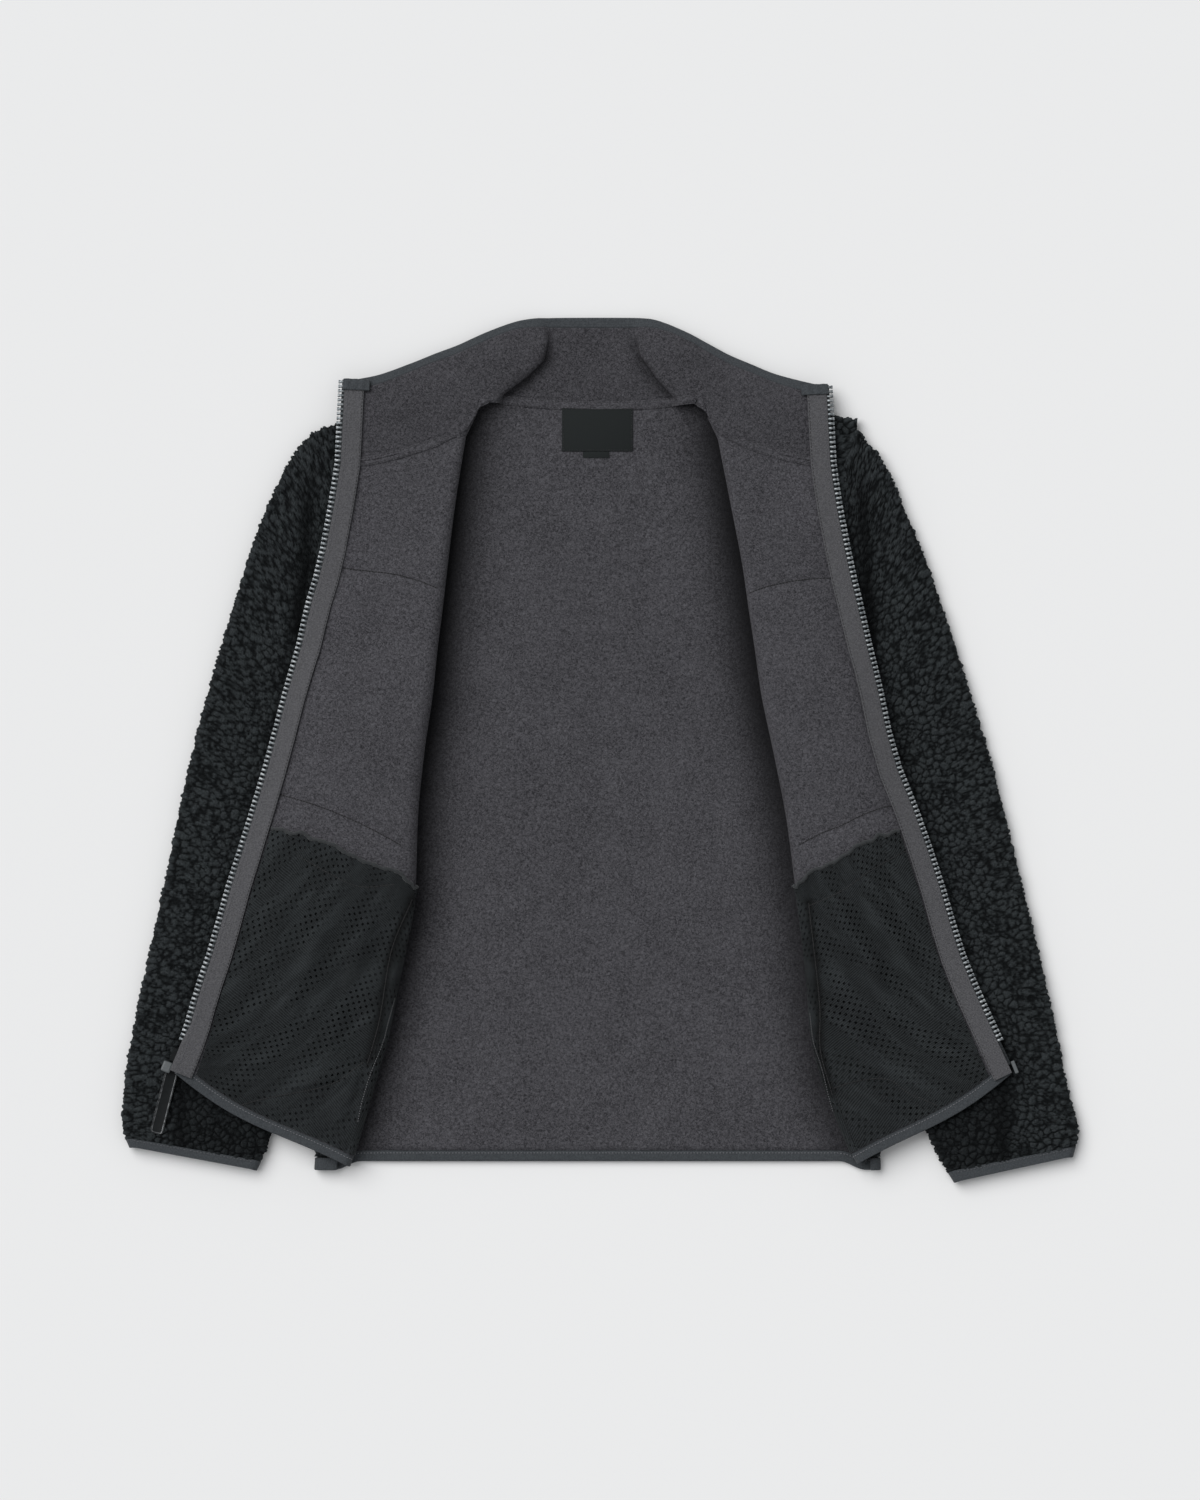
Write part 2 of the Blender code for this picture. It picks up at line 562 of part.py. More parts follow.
def add_plate(bm):
    """Outline of the pull with its eye, made thick: it hangs along -Y from the hinge."""
    half = PULL_WIDTH / 2
    eye = PULL_EYE_OUT / 2
    hole = PULL_EYE_IN / 2
    end = -PULL_LENGTH
    shoulder = -PULL_EYE
    low = end + PULL_CORNER
    wide = half - PULL_CORNER
    outer = [(-eye, PULL_PIN), (eye, PULL_PIN), (eye, shoulder), (half, shoulder - PULL_CORNER)]
    outer += [(wide + PULL_CORNER * math.cos(a), low - PULL_CORNER * math.sin(a))
              for a in spread(0, math.pi / 2, 3)]
    outer += [(-wide - PULL_CORNER * math.sin(a), low - PULL_CORNER * math.cos(a))
              for a in spread(0, math.pi / 2, 3)]
    outer += [(-half, shoulder - PULL_CORNER), (-eye, shoulder)]
    foot = shoulder + PULL_RIM
    inner = [(-hole, -PULL_PIN), (hole, -PULL_PIN), (hole, foot), (-hole, foot)]
    edges = []
    for outline in (outer, inner):
        verts = [bm.verts.new((x, y, 0)) for x, y in outline]
        edges += [bm.edges.new((a, b)) for a, b in zip(verts, verts[1:] + verts[:1])]
    bmesh.ops.triangle_fill(bm, use_beauty=True, edges=edges)
    face_up = bm.faces[:]
    made = bmesh.ops.extrude_face_region(bm, geom=face_up)["geom"]
    raised = [v for v in made if isinstance(v, bmesh.types.BMVert)]
    bmesh.ops.translate(bm, vec=(0, 0, PULL_THICK), verts=raised)
    bmesh.ops.translate(bm, vec=(0, 0, -PULL_THICK / 2), verts=bm.verts)


# ------------------------------------------------------------------ back
def top_edge(x):
    """Upper limit of the back on the floor at x: neck seam, or the shoulder's turn."""
    out = abs(x)
    if out <= NECK_HALF:
        return NECK_DIP + NECK_RISE * (out / NECK_HALF) ** 2
    f = min((out - NECK_HALF) / (SHOULDER_OUT - NECK_HALF), 1)
    return SHOULDER_TOP + (SHOULDER_END - SHOULDER_TOP) * f - CLOTH / 2 - TURN


def back_columns():
    """Places across the back, -1 to 1, with a column at each end of the neck."""
    neck = NECK_HALF / SHOULDER_OUT
    outer = spread(neck, 1, 4)
    return [-f for f in reversed(outer)] + spread(-neck, neck, 6)[1:-1] + outer


def floor_row(y, columns, inset):
    """Points of the back on the floor at height y."""
    right = side_out("right", y) - inset
    left = side_out("left", y) - inset
    return [dipped(Vector((f * (right if f < 0 else left), y, LOW))) for f in columns]


def dipped(point):
    """The hem hangs lower where the sides turn over."""
    near_hem = ease((DIP_FROM - point.y) / (DIP_FROM - BACK_HEM))
    point.y -= HEM_DIP * near_hem * ease((abs(point.x) - DIP_OUT) / DIP_RUN)
    return point


def turn_path(side, y):
    """Points over the turned side at height y: from the floor over the edge to the seam."""
    edge = side_out(side, y)
    seam = seam_out(side, dipped(Vector((seam_out(side, y), y, HIGH))).y)
    centre = edge - CLOTH / 2 - TURN
    points = [Vector((SIGN[side] * (centre + TURN * math.sin(a)), y, HIGH - TURN - TURN * math.cos(a)))
              for a in spread(0, math.pi, 5)]
    for f in spread(0, 1, 3)[1:]:
        points.append(Vector((SIGN[side] * (centre + (seam - centre) * f), y, HIGH)))
    return [dipped(point) for point in points]


def seam_out(side, y):
    """Side seam on top, just outside the front's first points."""
    points = [front_point(side, k, 0) for k in FRONT_STEPS + FRONT_BAND]
    y = max(y, points[-1].y - 4 * SEAM_GAP)
    for upper, lower in zip(points, points[1:]):
        if upper.y >= y >= lower.y:
            f = (upper.y - y) / (upper.y - lower.y)
            return abs(upper.lerp(lower, f).x) + 2 * SEAM_GAP
    upper, lower = points[-2:] if y < points[-1].y else points[:2]
    f = (upper.y - y) / (upper.y - lower.y)
    return abs(upper.lerp(lower, f).x) + 2 * SEAM_GAP


def build_back():
    columns = back_columns()
    inset = CLOTH / 2 + TURN
    hem = BACK_HEM + BINDING + SEAM_GAP
    bm = bmesh.new()
    first = [Vector((f * SHOULDER_OUT, top_edge(f * SHOULDER_OUT), LOW)) for f in columns]
    rows = [first]
    rows += [floor_row(y, columns, 0) for y in BACK_ROWS]
    turned = list(TURNED_ROWS) + [hem]
    rows += [floor_row(y, columns, inset) for y in turned]
    add_grid(bm, rows)
    for side in ("right", "left"):
        add_grid(bm, [turn_path(side, y) for y in turned])
        add_shoulder(bm, [p for p in first if SIGN[side] * p.x >= NECK_HALF - 0.001])
    finish(bm, "back", "sherpa", CLOTH)


def add_shoulder(bm, points):
    """The shoulder's turn: from the floor over the edge to the seam on top."""
    rows = []
    for a in spread(0, math.pi, 5):
        rows.append([p + Vector((0, TURN * math.sin(a), TURN * (1 - math.cos(a)))) for p in points])
    side = "right" if points[0].x < 0 else "left"
    start, end = front_point(side, 0, 0), front_point(side, 0, 1)
    for f in (0.5, 1):
        row = []
        for p in rows[5]:
            f_out = (p.x - start.x) / (end.x - start.x)
            seam_y = start.y + (end.y - start.y) * f_out + SHOULDER_GAP
            row.append(Vector((p.x, p.y + (seam_y - p.y) * f, HIGH)))
        rows.append(row)
    add_grid(bm, rows)


def build_back_binding():
    """Hem binding of the back, turned over with it at both sides."""
    columns = back_columns()
    inset = CLOTH / 2 + TURN
    rows = []
    for f in spread(0, 1, 2):
        y = BACK_HEM + BINDING * (1 - f)
        right = list(reversed(turn_path("right", y)))
        left = turn_path("left", y)
        rows.append(right[:-1] + floor_row(y, columns, inset) + left[1:])
    wall("hem_binding_back", rows, BINDING_CLOTH, "binding")


# ------------------------------------------------------------------ sleeves
def ledge(side, out, y):
    """How high a sleeve must lie here to clear the side of the body."""
    clear = 3 * SEAM_GAP
    one_layer = CLOTH + clear
    two_layers = 2 * CLOTH + AIR + clear
    height = one_layer * ease((ON_FLOOR_ABOVE - y) / ON_FLOOR_RUN)
    height += (two_layers - one_layer) * ease((ON_TURN_BELOW - y) / ON_TURN_RUN)
    return height * ease((side_out(side, y) + LEDGE_FULL + LEDGE_RUN - out) / LEDGE_RUN)


def overlap_share(side, row):
    """1 where the sleeve's inner edge lies on the body, 0 where it lies beside it."""
    inside = side_out(side, row.inner_y) - row.inner_out
    return ease((inside + OVERLAP_FROM) / OVERLAP_RUN)


def sleeve_ring(side, k):
    """Closed ring of points on the middle of the sleeve's cloth."""
    row = read(SLEEVE_ROWS[side], k)
    outer = Vector((row.outer_out, row.outer_y))
    inner = Vector((row.inner_out, row.inner_y))
    across = (inner - outer).normalized()
    width = (inner - outer).length
    inset = CLOTH / 2 + TURN
    flat = [inset + (width - 2 * inset) * f ** 0.8 for f in spread(0, 1, 9)]
    ring = [(d, LOW) for d in flat]
    ring += [(width - inset + TURN * math.sin(a), HIGH - TURN - TURN * math.cos(a))
             for a in spread(0, math.pi, 4)[1:-1]]
    ring += [(d, HIGH) for d in reversed(flat)]
    ring += [(inset - TURN * math.sin(a), HIGH - TURN + TURN * math.cos(a))
             for a in spread(0, math.pi, 4)[1:-1]]
    points = []
    for d, z in ring:
        place = outer + across * d
        base = outer + across * min(max(d, inset), width - inset)
        lift = ledge(side, base.x, base.y) * overlap_share(side, row)
        points.append(Vector((SIGN[side] * place.x, place.y, z + lift)))
    return points


def build_sleeve(side):
    rings = [sleeve_ring(side, k) for k in spread(0, CUFF_ROW, 18)]
    wall("sleeve_" + side, rings, CLOTH, "sherpa", closed=True)
    rings = [sleeve_ring(side, k) for k in spread(CUFF_ROW + 0.07, 16, 2)]
    wall("cuff_binding_" + side, rings, BINDING_CLOTH, "binding", closed=True)


# ------------------------------------------------------------------ collar
def crease_share(side, place):
    """1 on the turned front half of the collar, 0 on its back half, by way of the roll."""
    nearest = 1.0
    side_of = 1.0
    for a, b in zip(CREASES[side], CREASES[side][1:]):
        start, end = Vector(a), Vector(b)
        along = end - start
        f = min(max((place - start).dot(along) / along.length_squared, 0), 1)
        apart = place - start - along * f
        if apart.length < nearest:
            nearest = apart.length
            side_of = 1.0 if along.x * apart.y - along.y * apart.x < 0 else -1.0
    return ease(1 + side_of * nearest / CREASE_RUN)


def collar_point(side, k, v):
    """Point of the collar: k counts sections from the zip, v is 0 at the seam, 1 on top."""
    row = read(COLLAR_ROWS[side], k)
    seam = Vector((row.seam_out, row.seam_y))
    seam_z = row.seam_z
    if k < FRONT_SECTIONS:
        on_front = front_point(side, 0, 3 - k / FRONT_SECTIONS)
        seam = Vector((abs(on_front.x), on_front.y + 2 * SEAM_GAP))
        seam_z = on_front.z
    place = seam.lerp(Vector((row.top_out, row.top_y)), v)
    z = curve_through((seam_z, row.half_z, row.top_z), v)
    z = LOW + (z - LOW) * crease_share(side, place)
    return Vector((SIGN[side] * place.x, place.y, z))


def collar_sections():
    """Section numbers from one zip edge to the other, closer where the collar rolls."""
    half = spread(0, 5, 5)[:-1] + spread(5, 12, 10)
    return [("right", k) for k in half] + [("left", k) for k in reversed(half[:-1])]


def build_collar():
    panel = []
    band = []
    for side, k in collar_sections():
        height = (collar_point(side, k, 1) - collar_point(side, k, 0)).length
        share = BINDING / height
        gap = SEAM_GAP / height
        panel.append([collar_point(side, k, v) for v in spread(0, 1 - share - gap, 8)])
        band.append([collar_point(side, k, v) for v in (1 - share, 1)])
    wall("collar", panel, CLOTH, "sherpa")
    wall("collar_binding", band, BINDING_CLOTH, "binding")


# ------------------------------------------------------------------ labels
def build_label(name, place, size):
    """Woven label flat on the back's lining."""
    bm = bmesh.new()
    z = CLOTH + SEAM_GAP + size[2] / 2
    turned_box(bm, (place[0], place[1], z), size, 0)
    finish(bm, name, "label")


def main():
    for old in list(bpy.data.objects):
        bpy.data.objects.remove(old, do_unlink=True)
    build_back()
    build_back_binding()
    build_collar()
    for side in ("right", "left"):
        build_front(side)
        build_sleeve(side)
        build_pocket(side)
        build_zip_side(side)
    build_label("neck_label", LABEL_PLACE, LABEL_SIZE)
    build_label("size_tag", TAG_PLACE, TAG_SIZE)
    build_slider()
    build_pull()
    build_block("zip_box", BOX_AT, BOX_SIZE, ZIP_TURN, "grey_hardware")
    build_block("zip_pin", PIN_AT, PIN_SIZE, -ZIP_TURN, "grey_hardware")


main()
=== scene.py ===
import math
from collections import namedtuple

import bmesh
import bpy
import numpy as np
from mathutils import Matrix, Vector
from mathutils.bvhtree import BVHTree


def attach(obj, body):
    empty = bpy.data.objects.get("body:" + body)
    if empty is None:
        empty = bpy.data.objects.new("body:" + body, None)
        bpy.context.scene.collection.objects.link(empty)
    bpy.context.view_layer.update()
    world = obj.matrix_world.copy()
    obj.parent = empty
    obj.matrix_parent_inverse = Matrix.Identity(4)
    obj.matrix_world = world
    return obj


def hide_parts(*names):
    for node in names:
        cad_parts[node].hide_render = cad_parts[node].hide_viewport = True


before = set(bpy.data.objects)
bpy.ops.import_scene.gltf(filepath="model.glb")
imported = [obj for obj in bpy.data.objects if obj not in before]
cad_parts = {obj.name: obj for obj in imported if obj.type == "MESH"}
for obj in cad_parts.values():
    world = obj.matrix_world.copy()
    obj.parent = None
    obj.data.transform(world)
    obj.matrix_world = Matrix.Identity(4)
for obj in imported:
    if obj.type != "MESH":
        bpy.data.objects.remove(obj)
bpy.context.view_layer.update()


def table(columns, *rows):
    """Rows of numbers with named columns."""
    return tuple(columns(*row) for row in rows)


# ---- sizes, as in the solids
CLOTH = 0.0055  # bonded cloth with its pile
AIR = 0.0025  # air left between two walls of a flattened tube
SEAM_GAP = 0.0004  # between pieces that are sewn together
LOW = CLOTH / 2  # a layer that lies on the floor
HIGH = LOW + CLOTH + AIR  # the layer over it
TURN = (HIGH - LOW) / 2  # radius of the cloth where it turns over at a side

BINDING = 0.0095  # width of the binding round hem, cuffs and collar
BINDING_CLOTH = 0.0045  # its thickness, folded round the cloth's edge
TAPE = 0.0009  # woven zip tape
TAPE_OUT = 0.0040  # how far the tape stands out of the front's edge
TAPE_IN = 0.0110  # how far it reaches in under the facing
FACING = 0.0010  # twill strip that covers the tape
FACING_IN = 0.0165  # its reach onto the front
FACING_OUT = 0.0014  # and past the front's edge
FACING_CORNER = 0.0046  # past it where it covers the slider
LABEL_SIZE = (0.0650, 0.0400, 0.0008)
LABEL_PLACE = (-0.0025, 0.2945)
TAG_SIZE = (0.0240, 0.0055, 0.0008)
TAG_PLACE = (-0.0037, 0.27135)

NECK_DIP = 0.3155  # back neck seam at the centre
NECK_HALF = 0.1160  # half of the back neck, to the shoulder turns
NECK_RISE = 0.0086  # how much higher the seam is at the shoulder
SHOULDER_OUT = 0.2360  # outer end of the shoulder turn
SHOULDER_TOP = 0.3260  # top of the turn at the neck
SHOULDER_END = 0.3040  # top of the turn at the sleeve
SHOULDER_GAP = 0.0018  # between its seam and the front, which rolls there

# Front, one row per section from the collar seam down to the hem.  arm: armhole, and
# lower down the side seam.  fold: innermost reach of the turned edge.  edge: zip edge.
# Heights go from the seam (arm_z, under_z) over the fold (fold_z) to the zip (edge_z).
FrontRow = namedtuple(
    "FrontRow",
    "arm_out arm_y fold_out fold_y edge_out edge_y arm_z under_z fold_z inner_z outer_z edge_z bow",
)
FRONT_ROWS = {
    "right": table(FrontRow,
        (.2365, .2900, .1230, .2890, .2360, .2630, .0108, .0108, .0200, .0195, .0190, .0175, .0045),
        (.2210, .2300, .1330, .2240, .2410, .2300, .0108, .0108, .0225, .0215, .0195, .0172, 0),
        (.2010, .1660, .1400, .1670, .2530, .1670, .0108, .0108, .0245, .0230, .0195, .0170, 0),
        (.1898, .1290, .1440, .1320, .2630, .1320, .0118, .0108, .0262, .0250, .0218, .0174, 0),
        (.1768, .0920, .1490, .0920, .2710, .0940, .0165, .0125, .0292, .0290, .0264, .0184, 0),
        (.1680, .0560, .1530, .0530, .2820, .0550, .0170, .0150, .0325, .0335, .0315, .0190, 0),
        (.1786, -.0020, .1610, -.0020, .2970, -.0020, .0108, .0108, .0325, .0340, .0310, .0190, 0),
        (.1845, -.0640, .1670, -.0640, .3160, -.0660, .0108, .0108, .0320, .0340, .0300, .0185, 0),
        (.1859, -.1250, .1690, -.1250, .3360, -.1280, .0108, .0108, .0310, .0330, .0275, .0180, 0),
        (.1952, -.1860, .1800, -.1860, .3520, -.1830, .0108, .0108, .0275, .0280, .0215, .0175, 0),
        (.2036, -.2379, .1900, -.2390, .3660, -.2245, .0108, .0108, .0245, .0225, .0195, .0185, 0),
        (.2137, -.2830, .2010, -.2850, .3755, -.2575, .0108, .0108, .0230, .0205, .0195, .0200, .003),
        (.2371, -.3682, .2265, -.3740, .3865, -.2860, .0108, .0108, .0215, .0195, .0200, .0222, .009),
        (.2401, -.3772, .2295, -.3830, .3905, -.2960, .0108, .0108, .0215, .0195, .0200, .0225, .009),
    ),
    "left": table(FrontRow,
        (.2365, .2900, .1080, .2870, .2095, .2630, .0108, .0108, .0200, .0195, .0190, .0175, .0035),
        (.2210, .2300, .1190, .2300, .2140, .2300, .0108, .0108, .0225, .0215, .0195, .0172, 0),
        (.2010, .1660, .1310, .1670, .2260, .1670, .0108, .0108, .0245, .0230, .0195, .0170, 0),
        (.1898, .1290, .1360, .1320, .2340, .1320, .0118, .0108, .0262, .0250, .0210, .0172, 0),
        (.1768, .0920, .1420, .0920, .2420, .0940, .0165, .0125, .0292, .0290, .0250, .0180, 0),
        (.1680, .0560, .1475, .0530, .2510, .0550, .0170, .0150, .0325, .0338, .0330, .0228, 0),
        (.1766, -.0020, .1590, -.0020, .2635, -.0020, .0108, .0108, .0325, .0342, .0330, .0236, 0),
        (.1884, -.0640, .1710, -.0640, .2880, -.0660, .0108, .0108, .0320, .0340, .0305, .0200, 0),
        (.1959, -.1250, .1790, -.1250, .3090, -.1280, .0108, .0108, .0310, .0330, .0280, .0185, 0),
        (.2032, -.1860, .1880, -.1860, .3260, -.1830, .0108, .0108, .0275, .0280, .0220, .0175, 0),
        (.2056, -.2390, .1920, -.2390, .3430, -.2245, .0108, .0108, .0245, .0225, .0195, .0172, 0),
        (.2117, -.2828, .1990, -.2850, .3580, -.2570, .0108, .0108, .0230, .0205, .0190, .0172, .002),
        (.2414, -.3648, .2310, -.3710, .3720, -.2870, .0108, .0108, .0215, .0195, .0185, .0172, .007),
        (.2465, -.3739, .2360, -.3800, .3770, -.2975, .0108, .0108, .0215, .0195, .0185, .0172, .007),
    ),
}
FRONT_HEM = 12  # row where the hem binding starts
TAPE_ENDS = {"right": 12.7, "left": 12.2}  # rows where the zip tape stops, above the hem
FACING_END = 12.9  # row where the facing stops
COVER_FROM = -0.255  # the facing widens over the slider from here down
COVER_RUN = 0.018
POCKET_ROWS = {"right": (8.02, 7.12), "left": (8.00, 7.15)}  # pocket mouth, fold and zip side
POCKET_FROM = 1.6  # place round the fold where the bag starts

# Sleeve, one row per ring from the armhole to the end of the cuff: its outer edge and
# its inner edge, which lies under the front.
SleeveRow = namedtuple("SleeveRow", "outer_out outer_y inner_out inner_y")
SLEEVE_ROWS = {
    "right": table(SleeveRow,
        (.2430, .3000, .1745, .0600),
        (.2620, .2930, .1770, .0530),
        (.2830, .2690, .1795, .0430),
        (.3020, .2320, .1820, .0290),
        (.3200, .1870, .1840, .0110),
        (.3360, .1350, .1890, -.0080),
        (.3510, .0870, .1950, -.0310),
        (.3640, .0420, .2030, -.0600),
        (.3760, -.0060, .2130, -.0920),
        (.3870, -.0540, .2250, -.1280),
        (.3970, -.1040, .2460, -.1640),
        (.4080, -.1540, .2570, -.2070),
        (.4190, -.2050, .2660, -.2500),
        (.4290, -.2540, .2800, -.2910),
        (.4370, -.3000, .2920, -.3260),
        (.4400, -.3420, .3050, -.3640),
        (.4330, -.3640, .3150, -.3860),
    ),
    "left": table(SleeveRow,
        (.2430, .3000, .1745, .0600),
        (.2570, .2760, .1770, .0530),
        (.2720, .2400, .1795, .0430),
        (.2880, .2030, .1820, .0290),
        (.3040, .1620, .1840, .0110),
        (.3190, .1190, .1890, -.0080),
        (.3340, .0740, .1950, -.0310),
        (.3470, .0320, .2030, -.0600),
        (.3600, -.0110, .2130, -.0920),
        (.3730, -.0610, .2250, -.1280),
        (.3840, -.1070, .2460, -.1640),
        (.3960, -.1540, .2570, -.2070),
        (.4080, -.2040, .2650, -.2500),
        (.4200, -.2590, .2790, -.2930),
        (.4300, -.3090, .2920, -.3310),
        (.4400, -.3490, .3100, -.3720),
        (.4350, -.3730, .3250, -.3970),
    ),
}
CUFF_ROW = 15.62  # where the cuff's binding starts

# Edge of the back where it lies on the floor, armhole first, then the turned side.
SideRow = namedtuple("SideRow", "y right_out left_out")
SIDE_ROWS = table(SideRow,
    (.2930, .2395, .2395),
    (.2300, .2205, .2205),
    (.1980, .2105, .2105),
    (.1660, .2005, .2005),
    (.1290, .1880, .1880),
    (.1050, .1840, .1840),
    (.0900, .1880, .1880),
    (.0750, .1990, .1990),
    (.0600, .2120, .2120),
    (.0350, .2200, .2200),
    (-.0460, .2280, .2260),
    (-.1840, .2390, .2360),
    (-.2850, .2530, .2450),
    (-.3640, .2620, .2580),
    (-.3900, .2640, .2590),
)
BACK_TOP = 0.262  # top of the back's sides, at the armholes
TURNED_TOP = 0.027  # the sides turn over from here down
BACK_HEM = -.3780  # lower edge of the back hem
HEM_DIP = 0.0080  # how much lower it is where it has turned over at the sides
DIP_FROM = -.3400
DIP_OUT = 0.2200
DIP_RUN = 0.0240
LEDGE_FULL = 0.010  # a sleeve lies at full height this far outside the body
ON_FLOOR_ABOVE = 0.152  # above this the sleeve's seam lies on the floor
ON_FLOOR_RUN = 0.036
ON_TURN_BELOW = 0.068  # below this it lies on both layers of the turned side
ON_TURN_RUN = 0.032
OVERLAP_FROM = 0.010  # a sleeve starts to climb this far outside the body
OVERLAP_RUN = 0.012
LEDGE_RUN = 0.034  # and comes down to the floor over this length

# Collar, one row per section from the zip edge to the centre of the back: its point on
# the neck seam and on the top edge, and the heights at seam, half height and top.
CollarRow = namedtuple("CollarRow", "seam_out seam_y top_out top_y seam_z half_z top_z")
FRONT_SECTIONS = 5  # the first sections are sewn to the front, the rest to the back
COLLAR_ROWS = {
    "right": table(CollarRow,
        (.2360, .2634, .2325, .3390, .0175, .0172, .0100),
        (.2140, .2664, .2070, .3435, .0181, .0176, .0094),
        (.1930, .2704, .1750, .3545, .0187, .0180, .0088),
        (.1710, .2754, .1500, .3645, .0190, .0182, .0082),
        (.1510, .2814, .1300, .3720, .0194, .0184, .0078),
        (.1303, .2881, .1160, .3785, .0200, .0184, .0074),
        (.1225, .2945, .1060, .3830, .0195, .0180, .0070),
        (.1150, .3060, .0960, .3870, .0190, .0175, .0064),
        (.1100, .3165, .0850, .3910, .0185, .0168, .0058),
        (.1000, .3232, .0730, .3945, .0180, .0160, .0050),
        (.0840, .3212, .0560, .3968, .0180, .0150, .0040),
        (.0480, .3180, .0300, .3974, .0180, .0140, .0030),
        (.0000, .3162, .0000, .3975, .0180, .0140, .0028),
    ),
    "left": table(CollarRow,
        (.2095, .2634, .2060, .3340, .0175, .0172, .0100),
        (.1900, .2674, .1860, .3385, .0181, .0176, .0094),
        (.1710, .2714, .1600, .3455, .0187, .0180, .0088),
        (.1520, .2764, .1380, .3545, .0190, .0182, .0082),
        (.1340, .2814, .1190, .3625, .0194, .0184, .0078),
        (.1152, .2861, .1040, .3705, .0200, .0184, .0074),
        (.1070, .2925, .0940, .3760, .0195, .0180, .0070),
        (.1000, .3045, .0830, .3820, .0190, .0175, .0064),
        (.0945, .3145, .0720, .3870, .0185, .0168, .0058),
        (.0860, .3218, .0600, .3920, .0180, .0160, .0050),
        (.0700, .3202, .0450, .3962, .0180, .0150, .0040),
        (.0400, .3174, .0250, .3974, .0180, .0140, .0030),
        (.0000, .3162, .0000, .3975, .0180, .0140, .0028),
    ),
}
# Crease where the front half of the collar turns over the back half, from the neck seam up.
CreasePoint = namedtuple("CreasePoint", "out y")
CREASES = {
    "right": table(CreasePoint, (.1260, .2800), (.1110, .3160), (.0960, .3350),
              (.0740, .3510), (.0600, .3640), (.0570, .3780),
              (.0600, .4000)),
    "left": table(CreasePoint, (.1120, .2780), (.0970, .3090), (.0800, .3270),
             (.0620, .3460), (.0470, .3660), (.0410, .3820),
             (.0400, .4000)),
}
CREASE_RUN = 0.018  # width over which the roll comes down to the back half


# Zip hardware at the lower end of the wearer's right front.
SLIDER_AT = (-.3892, -.2800)  # hinge of the pull, in plan
PULL_TURN = math.radians(-14.3)  # the pull lies a little askew
SLIDER_BASE = .0176  # underside of the slider's body
BAIL_BAR = .0012
BAIL_DROP = .0034  # the bail stands this far out of the slider
PULL_PIN = .0008  # radius of the pull's cross bar
PULL_LENGTH = .0745
PULL_WIDTH = .0118
PULL_THICK = .0018
PULL_EYE = .0090  # length of the eye round the bail
PULL_EYE_OUT = .0086  # outer width of the eye
PULL_EYE_IN = .0054  # width inside it
PULL_RIM = .0015  # rim below the eye
PULL_CORNER = .0030  # radius of the plate's corners


SIGN = {"right": -1, "left": 1}
SIDES = ("right", "left")


# ---- forms, as in the solids
def slope(before, here, after):
    """Slope of a smooth curve at a table row that never overshoots its neighbours."""
    back, ahead = here - before, after - here
    return 2 * back * ahead / (back + ahead) if back * ahead > 0 else 0.0


def read(rows, k):
    """A table read at row k, which may be a fraction, along a smooth curve."""
    last = len(rows) - 1
    i = min(max(int(k), 0), last - 1)
    f = k - i
    values = []
    for a, b, c, d in zip(rows[max(i - 1, 0)], rows[i], rows[i + 1], rows[min(i + 2, last)]):
        leave = slope(a, b, c) if i > 0 else c - b
        arrive = slope(b, c, d) if i < last - 1 else c - b
        values.append(b + f * leave + f * f * (3 * (c - b) - 2 * leave - arrive)
                      + f ** 3 * (leave + arrive - 2 * (c - b)))
    return type(rows[0])(*values)


def side_out(side, y):
    """Distance from the centre line to the back's edge at height y."""
    column = 1 if side == "right" else 2
    if y >= SIDE_ROWS[0].y:
        return SIDE_ROWS[0][column]
    for upper, lower in zip(SIDE_ROWS, SIDE_ROWS[1:]):
        if y >= lower.y:
            f = (upper.y - y) / (upper.y - lower.y)
            return upper[column] + f * (lower[column] - upper[column])
    return SIDE_ROWS[-1][column]


def ease(f):
    """0 to 1 with level ends."""
    f = min(max(f, 0.0), 1.0)
    return f * f * (3 - 2 * f)


def spread(start, end, count):
    """count + 1 even steps from start to end."""
    return [start + (end - start) * i / count for i in range(count + 1)]


FRONT_STEPS = spread(0, FRONT_HEM - 0.04, 21)
FRONT_BAND = [FRONT_HEM, FRONT_HEM + 0.5, FRONT_HEM + 1]


def front_columns():
    """Places across a front where its solid has points."""
    return spread(0, 1, 3)[:-1] + spread(1, 2, 5)[:-1] + spread(2, 3, 8)


def front_point(side, k, across):
    """Point of a front: across is 0 at the armhole, 1 to 2 round the fold, 3 at the zip."""
    row = read(FRONT_ROWS[side], k)
    arm = Vector((row.arm_out, row.arm_y))
    fold = Vector((row.fold_out, row.fold_y))
    edge = Vector((row.edge_out, row.edge_y))
    outward = (edge - fold).normalized()
    radius = (row.fold_z - row.under_z) / 2
    centre = fold + outward * (CLOTH / 2 + radius)
    if across <= 1:
        place = arm.lerp(centre, across)
        z = row.arm_z + (row.under_z - row.arm_z) * ease(across)
    elif across <= 2:
        angle = math.pi * (across - 1)
        place = centre - outward * radius * math.sin(angle)
        z = row.under_z + radius * (1 - math.cos(angle))
    else:
        f = across - 2
        place = centre.lerp(edge, f)
        place.y -= row.bow * math.sin(math.pi * f ** 1.5)
        z = curve_through((row.fold_z, row.inner_z, row.outer_z, row.edge_z), f)
    return Vector((SIGN[side] * place.x, place.y, z))


Height = namedtuple("Height", "z")


def curve_through(heights, f):
    """Smooth curve through heights at even steps, f from 0 to 1."""
    return read([Height(z) for z in heights], f * (len(heights) - 1)).z


def front_normal(side, k, across):
    """Direction that the lining faces at a point of a front."""
    step = 0.02
    along = front_point(side, k + step, across) - front_point(side, k - step, across)
    reach = front_point(side, k, min(across + step, 3)) - front_point(side, k, across - step)
    return (reach.cross(along) * -SIGN[side]).normalized()


